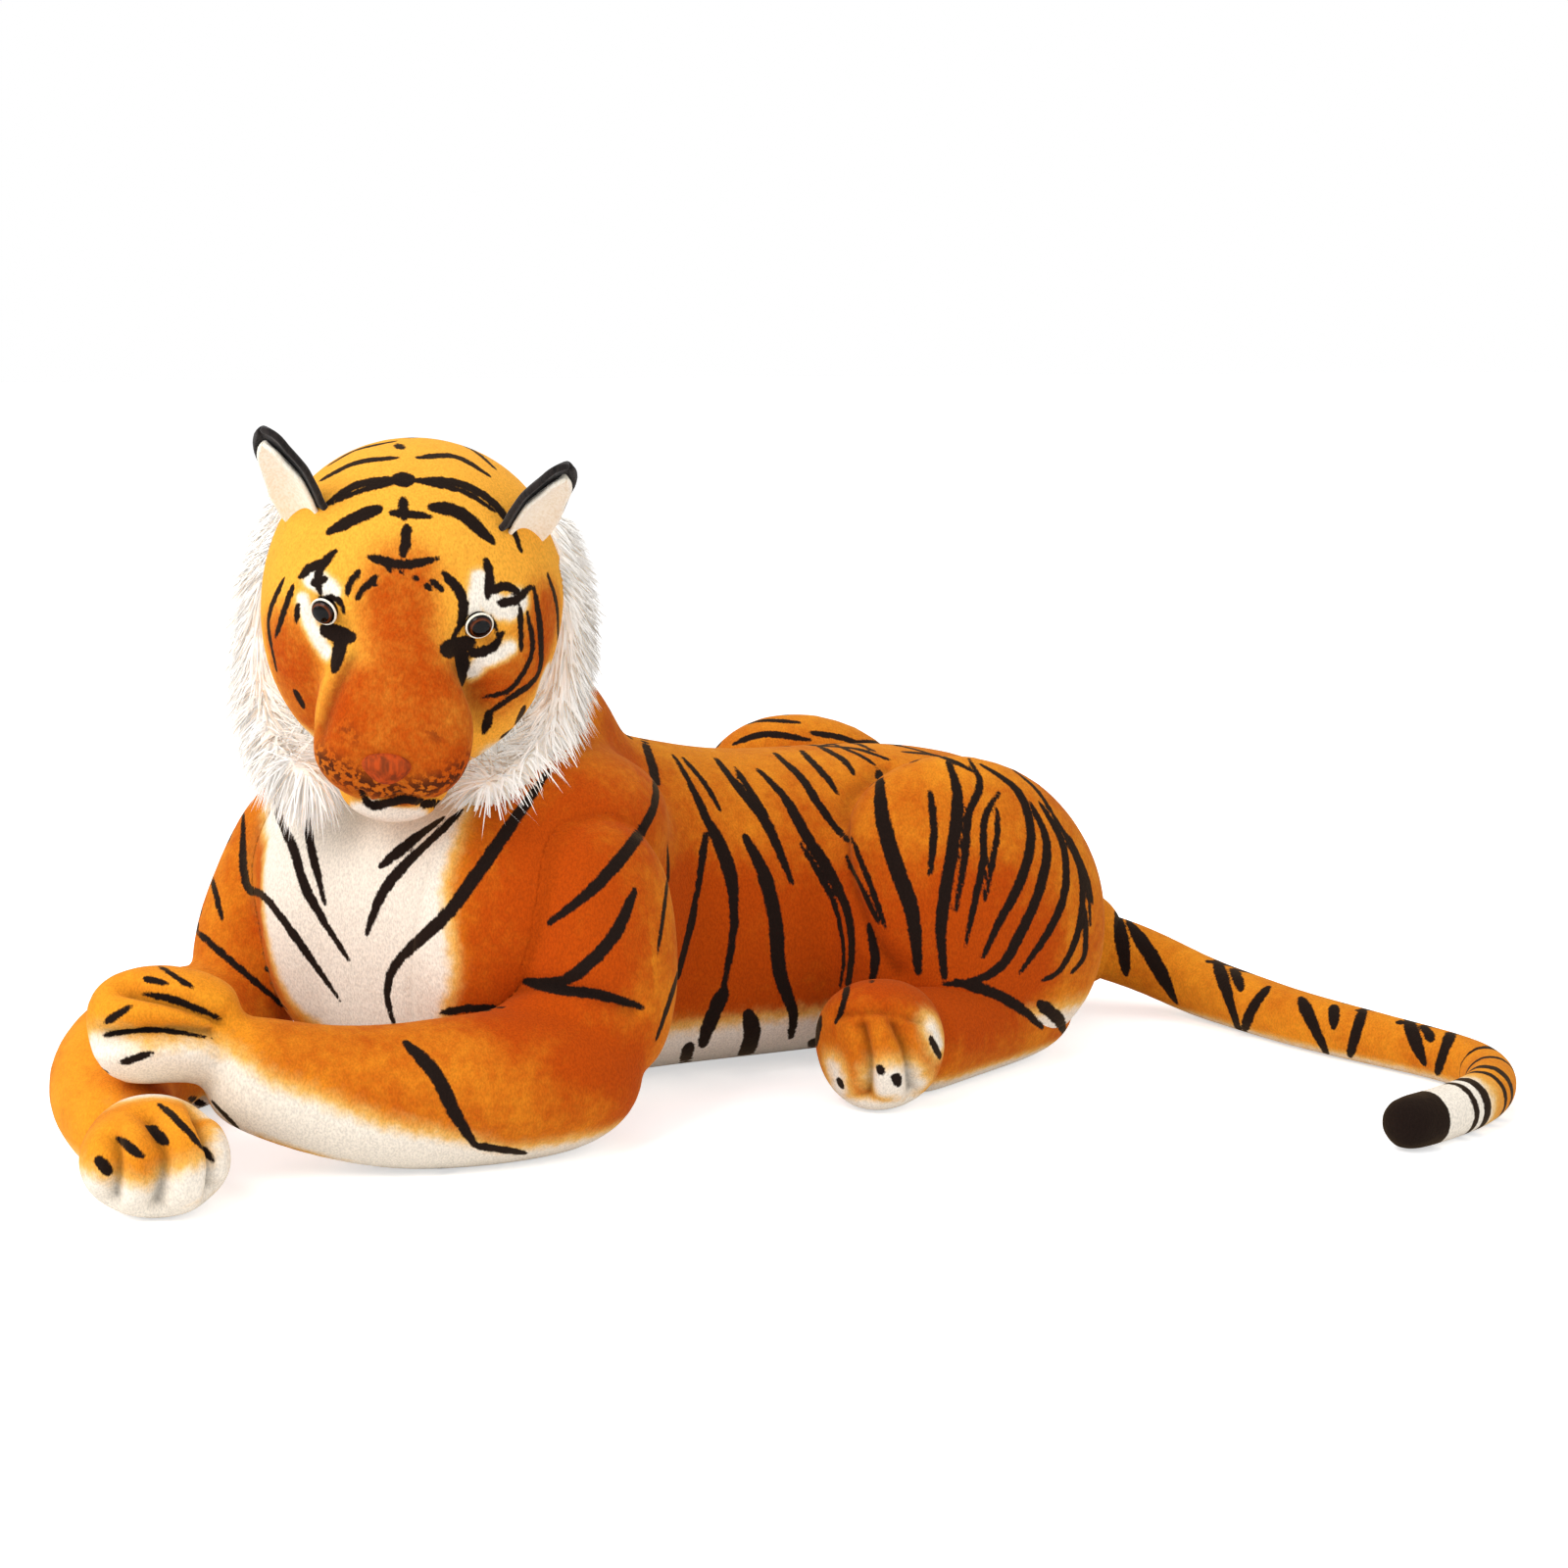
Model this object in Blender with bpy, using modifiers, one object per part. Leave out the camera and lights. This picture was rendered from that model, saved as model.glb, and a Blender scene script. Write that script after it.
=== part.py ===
"""Plush tiger lying on its belly with its forepaws crossed, as sewn and stuffed pieces.

Metres, +Z up. The origin is the middle of the flat patch on which the belly rests, +X is
the tiger's left side and the rump lies along +Y. The chest, neck, head and forelegs stand
in a front frame that the curved spine turns to the left, and the head pieces stand in a
head frame turned and tipped once more from it.
"""

import math
from typing import NamedTuple

import bmesh
import bpy
from mathutils import Matrix, Vector

MM = 0.001
DEG = math.pi / 180
NAME = "plush_tiger"

# Fits shared by all pieces: cut seams, moving pieces, the floor and the filling
SKIN_THICKNESS = 2.5 * MM
SEAM_GAP = 0.4 * MM
SOFT_GAP = 0.95 * MM
MOVING_GAP = 3.0 * MM
FLOOR_BITE = 0.5 * MM
FILLING_SLACK = 3.0 * MM
OVERRUN = 90.0 * MM
MERGE_DISTANCE = 0.01 * MM

# Spine
SPINE_BEND = 29.0 * DEG
SPINE_BEND_LENGTH = 120.0 * MM

# Torso
CHEST_REACH = 235.0 * MM
RUMP_REACH = 366.0 * MM
BODY_HALF_WIDTH = 104.0 * MM
BACK_HEIGHT = 206.0 * MM
TORSO_SIDES = 10
TORSO_CORNER_SHARE = 0.92
TORSO_BELLY_SHARE = 0.45
TORSO_STATION_SHARES = (
    (-1.00, 0.36, 0.80, 0.34),
    (-0.93, 0.64, 0.95, 0.17),
    (-0.77, 0.85, 1.08, 0.05),
    (-0.55, 0.93, 1.15, 0.01),
    (-0.28, 0.95, 1.15, 0.00),
    (0.00, 0.96, 1.08, 0.00),
    (0.17, 0.98, 1.00, 0.00),
    (0.36, 1.00, 0.97, 0.00),
    (0.55, 1.00, 0.98, 0.00),
    (0.73, 0.92, 0.93, 0.00),
    (0.88, 0.72, 0.76, 0.03),
    (0.975, 0.42, 0.50, 0.10),
)
BELLY_PANEL_HEIGHT = 30.0 * MM
BIB_HALF_WIDTH = 52.0 * MM
BIB_DEPTH = 75.0 * MM
BIB_TOP_HEIGHT = 202.0 * MM

# Neck, a turned pad under the head
NECK_RADIUS = 92.0 * MM
NECK_TOP_RADIUS = 74.0 * MM
NECK_FOOT_RISE = 6.0 * MM
NECK_LENGTH = 32.0 * MM
NECK_FOOT_HEIGHT = BACK_HEIGHT + NECK_FOOT_RISE
NECK_TOP_HEIGHT = NECK_FOOT_HEIGHT + NECK_LENGTH
NECK_EDGE = 6.0 * MM
NECK_SEGMENTS = 24
NECK_SIDE_GAP = 1.3 * MM
NOD_AXIS_BACK = 34.0 * MM

# Head frame: place over the front frame, turn, tip and lean
HEAD_SHIFT_LEFT = 14.0 * MM
HEAD_SHIFT_FORWARD = 74.0 * MM
HEAD_HEIGHT = 330.0 * MM
HEAD_TURN = 35.0 * DEG
HEAD_TIP = 25.0 * DEG
HEAD_LEAN = 6.0 * DEG
HEAD_TURN_RANGE = 20.0 * DEG
HEAD_TURN_STEPS = 5

# Head
HEAD_HALF_WIDTH = 94.0 * MM
HEAD_HALF_HEIGHT = 96.0 * MM
HEAD_BACK = 90.0 * MM
HEAD_FRONT = 90.0 * MM
HEAD_SIDES = 10
HEAD_STATION_SHARES = (
    (-1.00, 0.48, 0.22, -0.72),
    (-0.82, 0.78, 0.56, -0.93),
    (-0.50, 0.95, 0.88, -1.00),
    (-0.08, 1.00, 1.00, -0.98),
    (0.35, 0.96, 0.95, -0.86),
    (0.75, 0.78, 0.78, -0.66),
    (1.00, 0.42, 0.40, -0.34),
)

# Muzzle, nose and jaw
MUZZLE_HALF_WIDTH = 50.0 * MM
MUZZLE_REACH = 138.0 * MM
MUZZLE_HEIGHT = 80.0 * MM
MUZZLE_SIDES = 8
MUZZLE_STATION_SHARES = (
    (1.00, 0.58, -0.26, -0.76),
    (0.91, 0.95, -0.06, -0.92),
    (0.74, 1.00, 0.30, -0.96),
    (0.50, 0.84, 0.62, -0.92),
    (0.25, 0.66, 0.70, -0.85),
)
NOSE_HALF_WIDTH = 14.0 * MM
NOSE_HALF_HEIGHT = 10.0 * MM
NOSE_THICKNESS = 7.0 * MM
NOSE_DROP = 37.0 * MM
JAW_HALF_WIDTH = 34.0 * MM
JAW_HALF_LENGTH = 36.0 * MM
JAW_HALF_HEIGHT = 17.0 * MM
JAW_DROP = 78.0 * MM
JAW_SETBACK = 47.0 * MM
EGG_SEGMENTS = 8
EGG_RINGS = 6

# Eyes, each a dome with a stem, held inside the skin by a washer
EYE_RADIUS = 7.5 * MM
EYE_BULGE = 5.0 * MM
EYE_FLANGE = 1.2 * MM
EYE_STEM_RADIUS = 2.4 * MM
EYE_STEM_LENGTH = 13.0 * MM
EYE_SPREAD = 45.0 * MM
EYE_HEIGHT = 27.0 * MM
EYE_OUTWARD_TURN = 22.0 * DEG
EYE_SINK = 1.0 * MM
EYE_DOME_SHARES = (
    (0.0, 1.0),
    (0.38, 0.92),
    (0.71, 0.71),
    (0.92, 0.38),
    (1.0, 0.0),
)
WASHER_RADIUS = 7.0 * MM
WASHER_THICKNESS = 1.5 * MM
WASHER_SLACK = 3.6 * MM
EYE_SEGMENTS = 12

# Ears
EAR_HEIGHT = 58.0 * MM
EAR_HALF_WIDTH = 24.0 * MM
EAR_CUP = 9.0 * MM
EAR_LAYER = 2.6 * MM
EAR_LINING_GAP = 2.6 * MM
EAR_ROOT_RADIUS = 3.6 * MM
EAR_ROOT_SEGMENTS = 14
EAR_LEAF_FOOT = 1.8 * MM
EAR_SPREAD = 65.0 * MM
EAR_FORWARD = 20.0 * MM
EAR_BASE_HEIGHT = 61.0 * MM
EAR_OUTWARD_LEAN = 48.0 * DEG
EAR_SKEW_SHARE = 0.60
EAR_OPENING_TURN = 36.0 * DEG
EAR_WIDTH_SHARES = (0.74, 0.98, 1.00, 0.72, 0.16)
EAR_COLUMNS = 4

# Ruff, the long pile collar from behind each ear to the throat
RUFF_HALF_DEPTH = 30.0 * MM
RUFF_HALF_WIDTH = 17.0 * MM
RUFF_SIDES = 6
RUFF_PATH_SHARES = (
    (0.92, 0.30, 0.42, 0.40),
    (1.10, 0.28, 0.10, 0.85),
    (1.12, 0.22, -0.32, 1.00),
    (0.98, 0.14, -0.74, 1.00),
    (0.66, 0.02, -1.04, 0.85),
    (0.28, -0.10, -1.16, 0.60),
)

# Whiskers, strands sewn to a small pad on each side of the muzzle
WHISKER_COUNT = 4
WHISKER_LENGTH = 66.0 * MM
WHISKER_RADIUS = 0.45 * MM
WHISKER_DROOP_SHARE = 0.22
WHISKER_TAPER_SHARE = 0.5
WHISKER_FORWARD_SHARE = 0.25
WHISKER_FAN = 13.0 * DEG
WHISKER_STEPS = 3
WHISKER_SIDES = 4
WHISKER_PAD_RADIUS = 8.0 * MM
WHISKER_PAD_THICKNESS = 2.0 * MM
WHISKER_PAD_ROOT = 6.0 * MM
WHISKER_PAD_SEGMENTS = 12
WHISKER_PAD_SPREAD_SHARE = 0.93
WHISKER_PAD_FORWARD_SHARE = 0.86
WHISKER_PAD_DROP_SHARE = 0.56

# Shoulders and forelegs in the front frame
SHOULDER_PLANE = 88.0 * MM
SHOULDER_AXIS_HEIGHT = 140.0 * MM
SHOULDER_AXIS_FORWARD = 36.0 * MM
SHOULDER_PAN_RADIUS = 66.0 * MM
SHOULDER_SEGMENTS = 28
FORELEG_SPREAD = 133.0 * MM
FORELEG_REACH = 262.0 * MM
FORELEG_THICKNESS = 98.0 * MM
UPPER_ARM_HEIGHT = 206.0 * MM
LIMB_SIDES = 8
LEFT_UPPER_ARM_SHARES = (
    (0.80, -0.12, 0.985, 0.30, 0.30),
    (0.86, -0.13, 0.86, 0.44, 0.54),
    (0.93, -0.14, 0.62, 0.52, 0.60),
    (0.98, -0.18, 0.36, 0.50, 0.55),
    (1.00, -0.24, 0.20, 0.40, 0.42),
)
LEFT_FOREARM_SHARES = (
    (1.02, -0.12, 0.50, 0.30, 0.30),
    (1.02, -0.26, 0.50, 0.50, 0.49),
    (0.86, -0.46, 0.49, 0.50, 0.49),
    (0.54, -0.66, 0.45, 0.44, 0.45),
    (0.20, -0.83, 0.60, 0.36, 0.37),
    (0.02, -0.93, 0.78, 0.32, 0.33),
)
LEFT_PAW_SHARES = (
    (0.10, -0.88, 0.84, 0.30, 0.30),
    (-0.04, -0.95, 0.95, 0.37, 0.35),
    (-0.18, -1.01, 0.96, 0.42, 0.37),
    (-0.30, -1.06, 0.92, 0.38, 0.33),
    (-0.37, -1.08, 0.89, 0.24, 0.20),
)
RIGHT_UPPER_ARM_SHARES = (
    (-0.78, -0.10, 0.985, 0.30, 0.30),
    (-0.89, -0.12, 0.84, 0.46, 0.52),
    (-0.95, -0.18, 0.62, 0.50, 0.56),
    (-0.96, -0.28, 0.40, 0.48, 0.52),
    (-0.92, -0.36, 0.24, 0.36, 0.40),
)
RIGHT_FOREARM_SHARES = (
    (-0.93, -0.26, 0.48, 0.32, 0.32),
    (-0.95, -0.44, 0.49, 0.49, 0.48),
    (-0.94, -0.68, 0.48, 0.49, 0.48),
    (-0.76, -0.88, 0.42, 0.43, 0.42),
    (-0.42, -1.00, 0.33, 0.34, 0.33),
    (-0.10, -1.08, 0.31, 0.31, 0.31),
)
RIGHT_PAW_SHARES = (
    (-0.14, -1.07, 0.32, 0.30, 0.29),
    (0.01, -1.11, 0.33, 0.40, 0.33),
    (0.17, -1.16, 0.34, 0.46, 0.34),
    (0.28, -1.22, 0.32, 0.43, 0.32),
    (0.34, -1.27, 0.28, 0.26, 0.20),
)

# Haunches and hind legs
HAUNCH_SPREAD = 116.0 * MM
HAUNCH_REACH = 199.0 * MM
HAUNCH_HALF_WIDTH = 58.0 * MM
HAUNCH_HALF_LENGTH = 98.0 * MM
HAUNCH_HEIGHT = 224.0 * MM
HAUNCH_STATION_SHARES = (
    (-1.00, 0.30, 0.74, 0.34),
    (-0.84, 0.72, 0.91, 0.16),
    (-0.45, 0.97, 1.00, 0.03),
    (0.05, 1.00, 0.99, 0.00),
    (0.52, 0.88, 0.90, 0.04),
    (0.86, 0.56, 0.72, 0.16),
    (1.00, 0.26, 0.56, 0.30),
)
SHANK_SPREAD = 180.0 * MM
SHANK_THICKNESS_SHARE = 0.348
SHANK_THICKNESS = HAUNCH_HEIGHT * SHANK_THICKNESS_SHARE
SHANK_REACH = 275.0 * MM
HIND_SWING_RANGE = 20.0 * DEG
HIND_SWING_STEPS = 4
SHANK_SHARES = (
    (0.56, 1.00, 0.44, 0.26, 0.24),
    (0.60, 0.92, 0.46, 0.44, 0.44),
    (0.72, 0.70, 0.48, 0.49, 0.485),
    (0.87, 0.50, 0.46, 0.46, 0.465),
    (0.96, 0.40, 0.46, 0.42, 0.44),
)
HIND_FOOT_SHARES = (
    (0.95, 0.47, 0.50, 0.40, 0.42),
    (0.99, 0.39, 0.55, 0.52, 0.55),
    (1.02, 0.31, 0.56, 0.55, 0.565),
    (1.04, 0.25, 0.54, 0.46, 0.48),
    (1.05, 0.22, 0.53, 0.28, 0.29),
)

# Tail
TAIL_BALL_RADIUS = 36.0 * MM
TAIL_BALL_BACK = 352.0 * MM
TAIL_BALL_HEIGHT = 52.0 * MM
TAIL_ROOT_RADIUS = 25.0 * MM
TAIL_END_RADIUS = 17.0 * MM
TAIL_SPREAD = 414.0 * MM
TAIL_SWEEP = 109.0 * MM
TAIL_SIDES = 6
TAIL_DROP_STEPS = 2
TAIL_TAPER_SHARE = 0.5
TAIL_BALL_SEGMENTS = 20
TAIL_BEND_RADIUS = 32.0 * MM
TAIL_BEND_SEGMENTS = 24
TAIL_BEND_STEPS = 6
TAIL_TIP_STEPS = 9
TAIL_POINT_SHARES = (
    (0.00, 0.00),
    (0.065, 0.38),
    (0.15, 0.58),
    (0.26, 0.62),
    (0.38, 0.66),
    (0.52, 0.76),
    (0.655, 0.90),
    (0.76, 0.92),
    (0.84, 0.78),
    (0.89, 0.50),
    (0.925, 0.20),
    (0.955, -0.04),
    (0.975, -0.20),
    (0.985, -0.29),
)

# Colours and roughness of the materials
FUR_ROUGHNESS = 0.92
PLASTIC_ROUGHNESS = 0.12
COLOURS = {
    "orange_plush": (0.80, 0.30, 0.03, 1.0),
    "white_plush": (0.88, 0.84, 0.76, 1.0),
    "long_white_pile": (0.92, 0.89, 0.84, 1.0),
    "muzzle_plush": (0.58, 0.22, 0.04, 1.0),
    "nose_plush": (0.62, 0.20, 0.13, 1.0),
    "black_plush": (0.015, 0.012, 0.012, 1.0),
    "fibre_filling": (0.90, 0.90, 0.88, 1.0),
    "eye_plastic": (0.42, 0.22, 0.05, 1.0),
    "washer_plastic": (0.85, 0.85, 0.83, 1.0),
    "whisker_fibre": (0.90, 0.88, 0.84, 1.0),
}


class Ring(NamedTuple):
    """One cross section of a soft form: an oval square to the line that it follows."""

    centre: Vector
    side: Vector
    up: Vector
    half_width: float
    half_height: float


def empty_scene():
    """Remove whatever the scene holds."""
    for leftover in list(bpy.data.objects):
        bpy.data.objects.remove(leftover, do_unlink=True)
    for old_collection in list(bpy.data.collections):
        bpy.data.collections.remove(old_collection)


def new_collection(name):
    """Make a collection under the scene."""
    collection = bpy.data.collections.new(name)
    bpy.context.scene.collection.children.link(collection)
    return collection


def make_materials():
    """One Principled material for each cloth and plastic."""
    materials = {}
    for name, colour in COLOURS.items():
        material = bpy.data.materials.new(name)
        material.use_nodes = True
        shader = material.node_tree.nodes["Principled BSDF"]
        shader.inputs["Base Color"].default_value = colour
        glossy = "plastic" in name
        shader.inputs["Roughness"].default_value = PLASTIC_ROUGHNESS if glossy else FUR_ROUGHNESS
        shader.inputs["Metallic"].default_value = 0.0
        material.diffuse_color = colour
        materials[name] = material
    return materials


def spine_place(along):
    """Plan position and turn of the spine at a distance along it, negative to the front."""
    if along >= 0.0:
        return Vector((0.0, along, 0.0)), 0.0
    bend_radius = SPINE_BEND_LENGTH / SPINE_BEND
    turned = min(-along / bend_radius, SPINE_BEND)
    straight = max(0.0, -along - SPINE_BEND_LENGTH)
    forward = Vector((math.sin(turned), -math.cos(turned), 0.0))
    arc_end = Vector((1.0 - math.cos(turned), -math.sin(turned), 0.0)) * bend_radius
    return arc_end + forward * straight, turned


def front_frame():
    """Frame of the chest: its origin is on the floor under the neck's axis."""
    place, turned = spine_place(-SPINE_BEND_LENGTH)
    return Matrix.Translation(place) @ Matrix.Rotation(turned, 4, "Z")


def head_frame():
    """Frame of the head: its origin is the skull's middle and the face looks along -Y."""
    shift = Matrix.Translation((HEAD_SHIFT_LEFT, -HEAD_SHIFT_FORWARD, HEAD_HEIGHT))
    turn = Matrix.Rotation(HEAD_TURN, 4, "Z")
    tip = Matrix.Rotation(HEAD_TIP, 4, "X")
    lean = Matrix.Rotation(HEAD_LEAN, 4, "Y")
    return front_frame() @ shift @ turn @ tip @ lean


def ring_corners(ring, count, corner_share, belly_share):
    """Corners of one ring, set out so that subdivision leaves its size."""
    kept_share = (6.0 + 2.0 * math.cos(math.tau / count)) / 8.0
    corners = []
    for step in range(count):
        angle = math.tau * (step + 0.5) / count
        across = math.copysign(abs(math.cos(angle)) ** corner_share, math.cos(angle))
        share = corner_share if math.sin(angle) > 0.0 else belly_share
        along = math.copysign(abs(math.sin(angle)) ** share, math.sin(angle))
        width = ring.half_width * across / kept_share
        height = ring.half_height * along / kept_share
        corners.append(ring.centre + ring.side * width + ring.up * height)
    return corners


def loft_mesh(name, rings, sides, corner_share=1.0, belly_share=1.0):
    """Closed coarse cage through the rings, with a flat face at each end."""
    build = bmesh.new()
    loops = []
    for ring in rings:
        corners = ring_corners(ring, sides, corner_share, belly_share)
        loops.append([build.verts.new(corner) for corner in corners])
    for lower, upper in zip(loops, loops[1:]):
        for step in range(sides):
            following = (step + 1) % sides
            build.faces.new((lower[step], lower[following], upper[following], upper[step]))
    build.faces.new(list(reversed(loops[0])))
    build.faces.new(loops[-1])
    bmesh.ops.recalc_face_normals(build, faces=build.faces)
    mesh = bpy.data.meshes.new(name)
    build.to_mesh(mesh)
    build.free()
    return mesh


def tube_rings(points, halves, up_hint):
    """Rings square to a path of points, each with its half width and half height."""
    rings = []
    for index, point in enumerate(points):
        before = points[max(index - 1, 0)]
        after = points[min(index + 1, len(points) - 1)]
        tangent = (after - before).normalized()
        side = tangent.cross(up_hint).normalized()
        up = side.cross(tangent)
        rings.append(Ring(point, side, up, halves[index][0], halves[index][1]))
    return rings


def station_rings(stations, placing):
    """Rings of a form whose sections stand upright along its length."""
    rings = []
    for along, half_width, top, bottom in stations:
        origin, side = placing(along)
        centre = origin + Vector((0.0, 0.0, (top + bottom) / 2.0))
        rings.append(Ring(centre, side, Vector((0.0, 0.0, 1.0)), half_width, (top - bottom) / 2.0))
    return rings


def stand_on_floor(mesh):
    """Move a form until its lowest point is just under the floor."""
    probe = bpy.data.objects.new("probe", mesh)
    bpy.context.scene.collection.objects.link(probe)
    subdivide(probe)
    evaluated = probe.evaluated_get(bpy.context.evaluated_depsgraph_get())
    settled = evaluated.to_mesh()
    lowest = min(vertex.co.z for vertex in settled.vertices)
    evaluated.to_mesh_clear()
    bpy.data.objects.remove(probe, do_unlink=True)
    mesh.transform(Matrix.Translation((0.0, 0.0, -FLOOR_BITE - lowest)))


def subdivide(obj, levels=1):
    """Round a coarse cage."""
    rounding = obj.modifiers.new("rounding", "SUBSURF")
    rounding.levels = levels
    rounding.render_levels = levels


def swell(obj, distance):
    """Grow a form by a distance, or shrink it by a negative one."""
    swelling = obj.modifiers.new("swelling", "DISPLACE")
    swelling.mid_level = 0.0
    swelling.strength = distance
    swelling.direction = "NORMAL"


def hollow(obj, thickness):
    """Turn a closed form into a skin of even thickness inside its surface."""
    skin = obj.modifiers.new("skin", "SOLIDIFY")
    skin.thickness = thickness
    skin.offset = -1.0


def combine(obj, other, operation="DIFFERENCE"):
    """Cut, join or cross an object with another."""
    boolean = obj.modifiers.new(operation.lower(), "BOOLEAN")
    boolean.operation = operation
    boolean.object = other
    boolean.solver = "EXACT"


class Workshop:
    """Holds the collections and materials, and adds pieces and cutters to them."""

    def __init__(self):
        self.parts = new_collection(NAME)
        self.cutters = new_collection("cutters")
        self.materials = make_materials()

    def carrier(self, name, place):
        """Empty on a joint's axis, to which the pieces that turn with it are parented."""
        empty = bpy.data.objects.new(name, None)
        empty.location = place
        self.parts.objects.link(empty)
        return empty

    def piece(self, name, mesh, material, carrier=None, frame=Matrix()):
        """Add a visible piece, with its own copy of the material."""
        obj = bpy.data.objects.new(name, mesh)
        self.parts.objects.link(obj)
        own_material = self.materials[material].copy()
        own_material.name = name + "_" + material
        mesh.materials.append(own_material)
        mesh.shade_smooth()
        if carrier is not None:
            obj.parent = carrier
            obj.matrix_parent_inverse = Matrix.Translation(-carrier.location)
        obj.matrix_basis = frame
        return obj

    def cutter(self, name, mesh, frame=Matrix()):
        """Add a hidden shape that cuts pieces."""
        obj = bpy.data.objects.new(name, mesh)
        self.cutters.objects.link(obj)
        obj.hide_render = True
        obj.display_type = "WIRE"
        obj.matrix_basis = frame
        return obj

    def grown(self, name, mesh, distance, frame=Matrix()):
        """Add a cutter that is a soft form grown all round by a distance."""
        obj = self.cutter(name, mesh.copy(), frame)
        subdivide(obj)
        swell(obj, distance)
        return obj


def box_mesh(name, low, high):
    """Box between two corners."""
    build = bmesh.new()
    bmesh.ops.create_cube(build, size=1.0)
    low = Vector(low)
    high = Vector(high)
    size = high - low
    for vertex in build.verts:
        vertex.co = Vector((vertex.co.x * size.x, vertex.co.y * size.y, vertex.co.z * size.z))
        vertex.co += (low + high) / 2.0
    mesh = bpy.data.meshes.new(name)
    build.to_mesh(mesh)
    build.free()
    return mesh


def ball_mesh(name, radius, centre, segments):
    """Round ball."""
    build = bmesh.new()
    place = Matrix.Translation(centre)
    bmesh.ops.create_uvsphere(
        build, u_segments=segments, v_segments=segments // 2, radius=radius, matrix=place
    )
    mesh = bpy.data.meshes.new(name)
    build.to_mesh(mesh)
    build.free()
    return mesh


def rod_mesh(name, radius, start, end, segments):
    """Round rod between two points."""
    build = bmesh.new()
    line = end - start
    turn = line.to_track_quat("Z", "Y").to_matrix().to_4x4()
    bmesh.ops.create_cone(
        build,
        cap_ends=True,
        segments=segments,
        radius1=radius,
        radius2=radius,
        depth=line.length,
        matrix=Matrix.Translation((start + end) / 2.0) @ turn,
    )
    mesh = bpy.data.meshes.new(name)
    build.to_mesh(mesh)
    build.free()
    return mesh


def egg_mesh(name, halves, centre):
    """Coarse egg cage with three half sizes; one subdivision rounds it."""
    build = bmesh.new()
    bmesh.ops.create_uvsphere(build, u_segments=EGG_SEGMENTS, v_segments=EGG_RINGS, radius=1.0)
    for vertex in build.verts:
        scaled = (vertex.co.x * halves[0], vertex.co.y * halves[1], vertex.co.z * halves[2])
        vertex.co = Vector(scaled) + centre
    mesh = bpy.data.meshes.new(name)
    build.to_mesh(mesh)
    build.free()
    return mesh


def turned(obj, steps):
    """Turn a profile that stands in the XZ plane round the Z axis."""
    screw = obj.modifiers.new("turning", "SCREW")
    screw.axis = "Z"
    screw.angle = math.tau
    screw.steps = steps
    screw.render_steps = steps
    screw.use_merge_vertices = True
    screw.merge_threshold = MERGE_DISTANCE


def profile_mesh(name, points):
    """Open profile of (radius, height) points."""
    mesh = bpy.data.meshes.new(name)
    verts = [(radius, 0.0, height) for radius, height in points]
    edges = [(index, index + 1) for index in range(len(points) - 1)]
    mesh.from_pydata(verts, edges, [])
    return mesh


def torso_rings():
    """Sections of the torso from the chest to the rump, along the curved spine."""
    stations = []
    for along, width, top, bottom in TORSO_STATION_SHARES:
        reach = CHEST_REACH if along < 0.0 else RUMP_REACH
        station = (along * reach, width * BODY_HALF_WIDTH, top * BACK_HEIGHT, bottom * BACK_HEIGHT)
        stations.append(station)

    def placing(along):
        """Origin and side of the section at a distance along the spine."""
        place, turn = spine_place(along)
        return place, Vector((math.cos(turn), math.sin(turn), 0.0))

    return station_rings(stations, placing)


def limb_mesh(name, shares, spread, reach, height, thickness, frame, up_hint, mirror=1.0):
    """Tapering limb through a table of (side, back, height, half width, half height)."""
    points = []
    halves = []
    for side, back, up, half_width, half_height in shares:
        local = Vector((mirror * side * spread, back * reach, up * height))
        points.append(frame @ local)
        halves.append((half_width * thickness, half_height * thickness))
    return loft_mesh(name, tube_rings(points, halves, up_hint), LIMB_SIDES)


def tail_points():
    """Middle line of the tail, from the ball at the rump to the tip on the floor."""
    points = []
    last = len(TAIL_POINT_SHARES) - 1
    for index, (across, back) in enumerate(TAIL_POINT_SHARES):
        radius = tail_radius(index / last)
        fallen = min(index, TAIL_DROP_STEPS) / TAIL_DROP_STEPS
        drop = (1.0 + math.cos(fallen * math.pi)) / 2.0
        height = radius - FLOOR_BITE + (TAIL_BALL_HEIGHT - radius) * drop
        points.append(Vector((across * TAIL_SPREAD, TAIL_BALL_BACK + back * TAIL_SWEEP, height)))
    return points


def tail_radius(share):
    """Radius of the tail at a share of its length."""
    tapered = min(share / TAIL_TAPER_SHARE, 1.0)
    return TAIL_ROOT_RADIUS + (TAIL_END_RADIUS - TAIL_ROOT_RADIUS) * tapered


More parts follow.
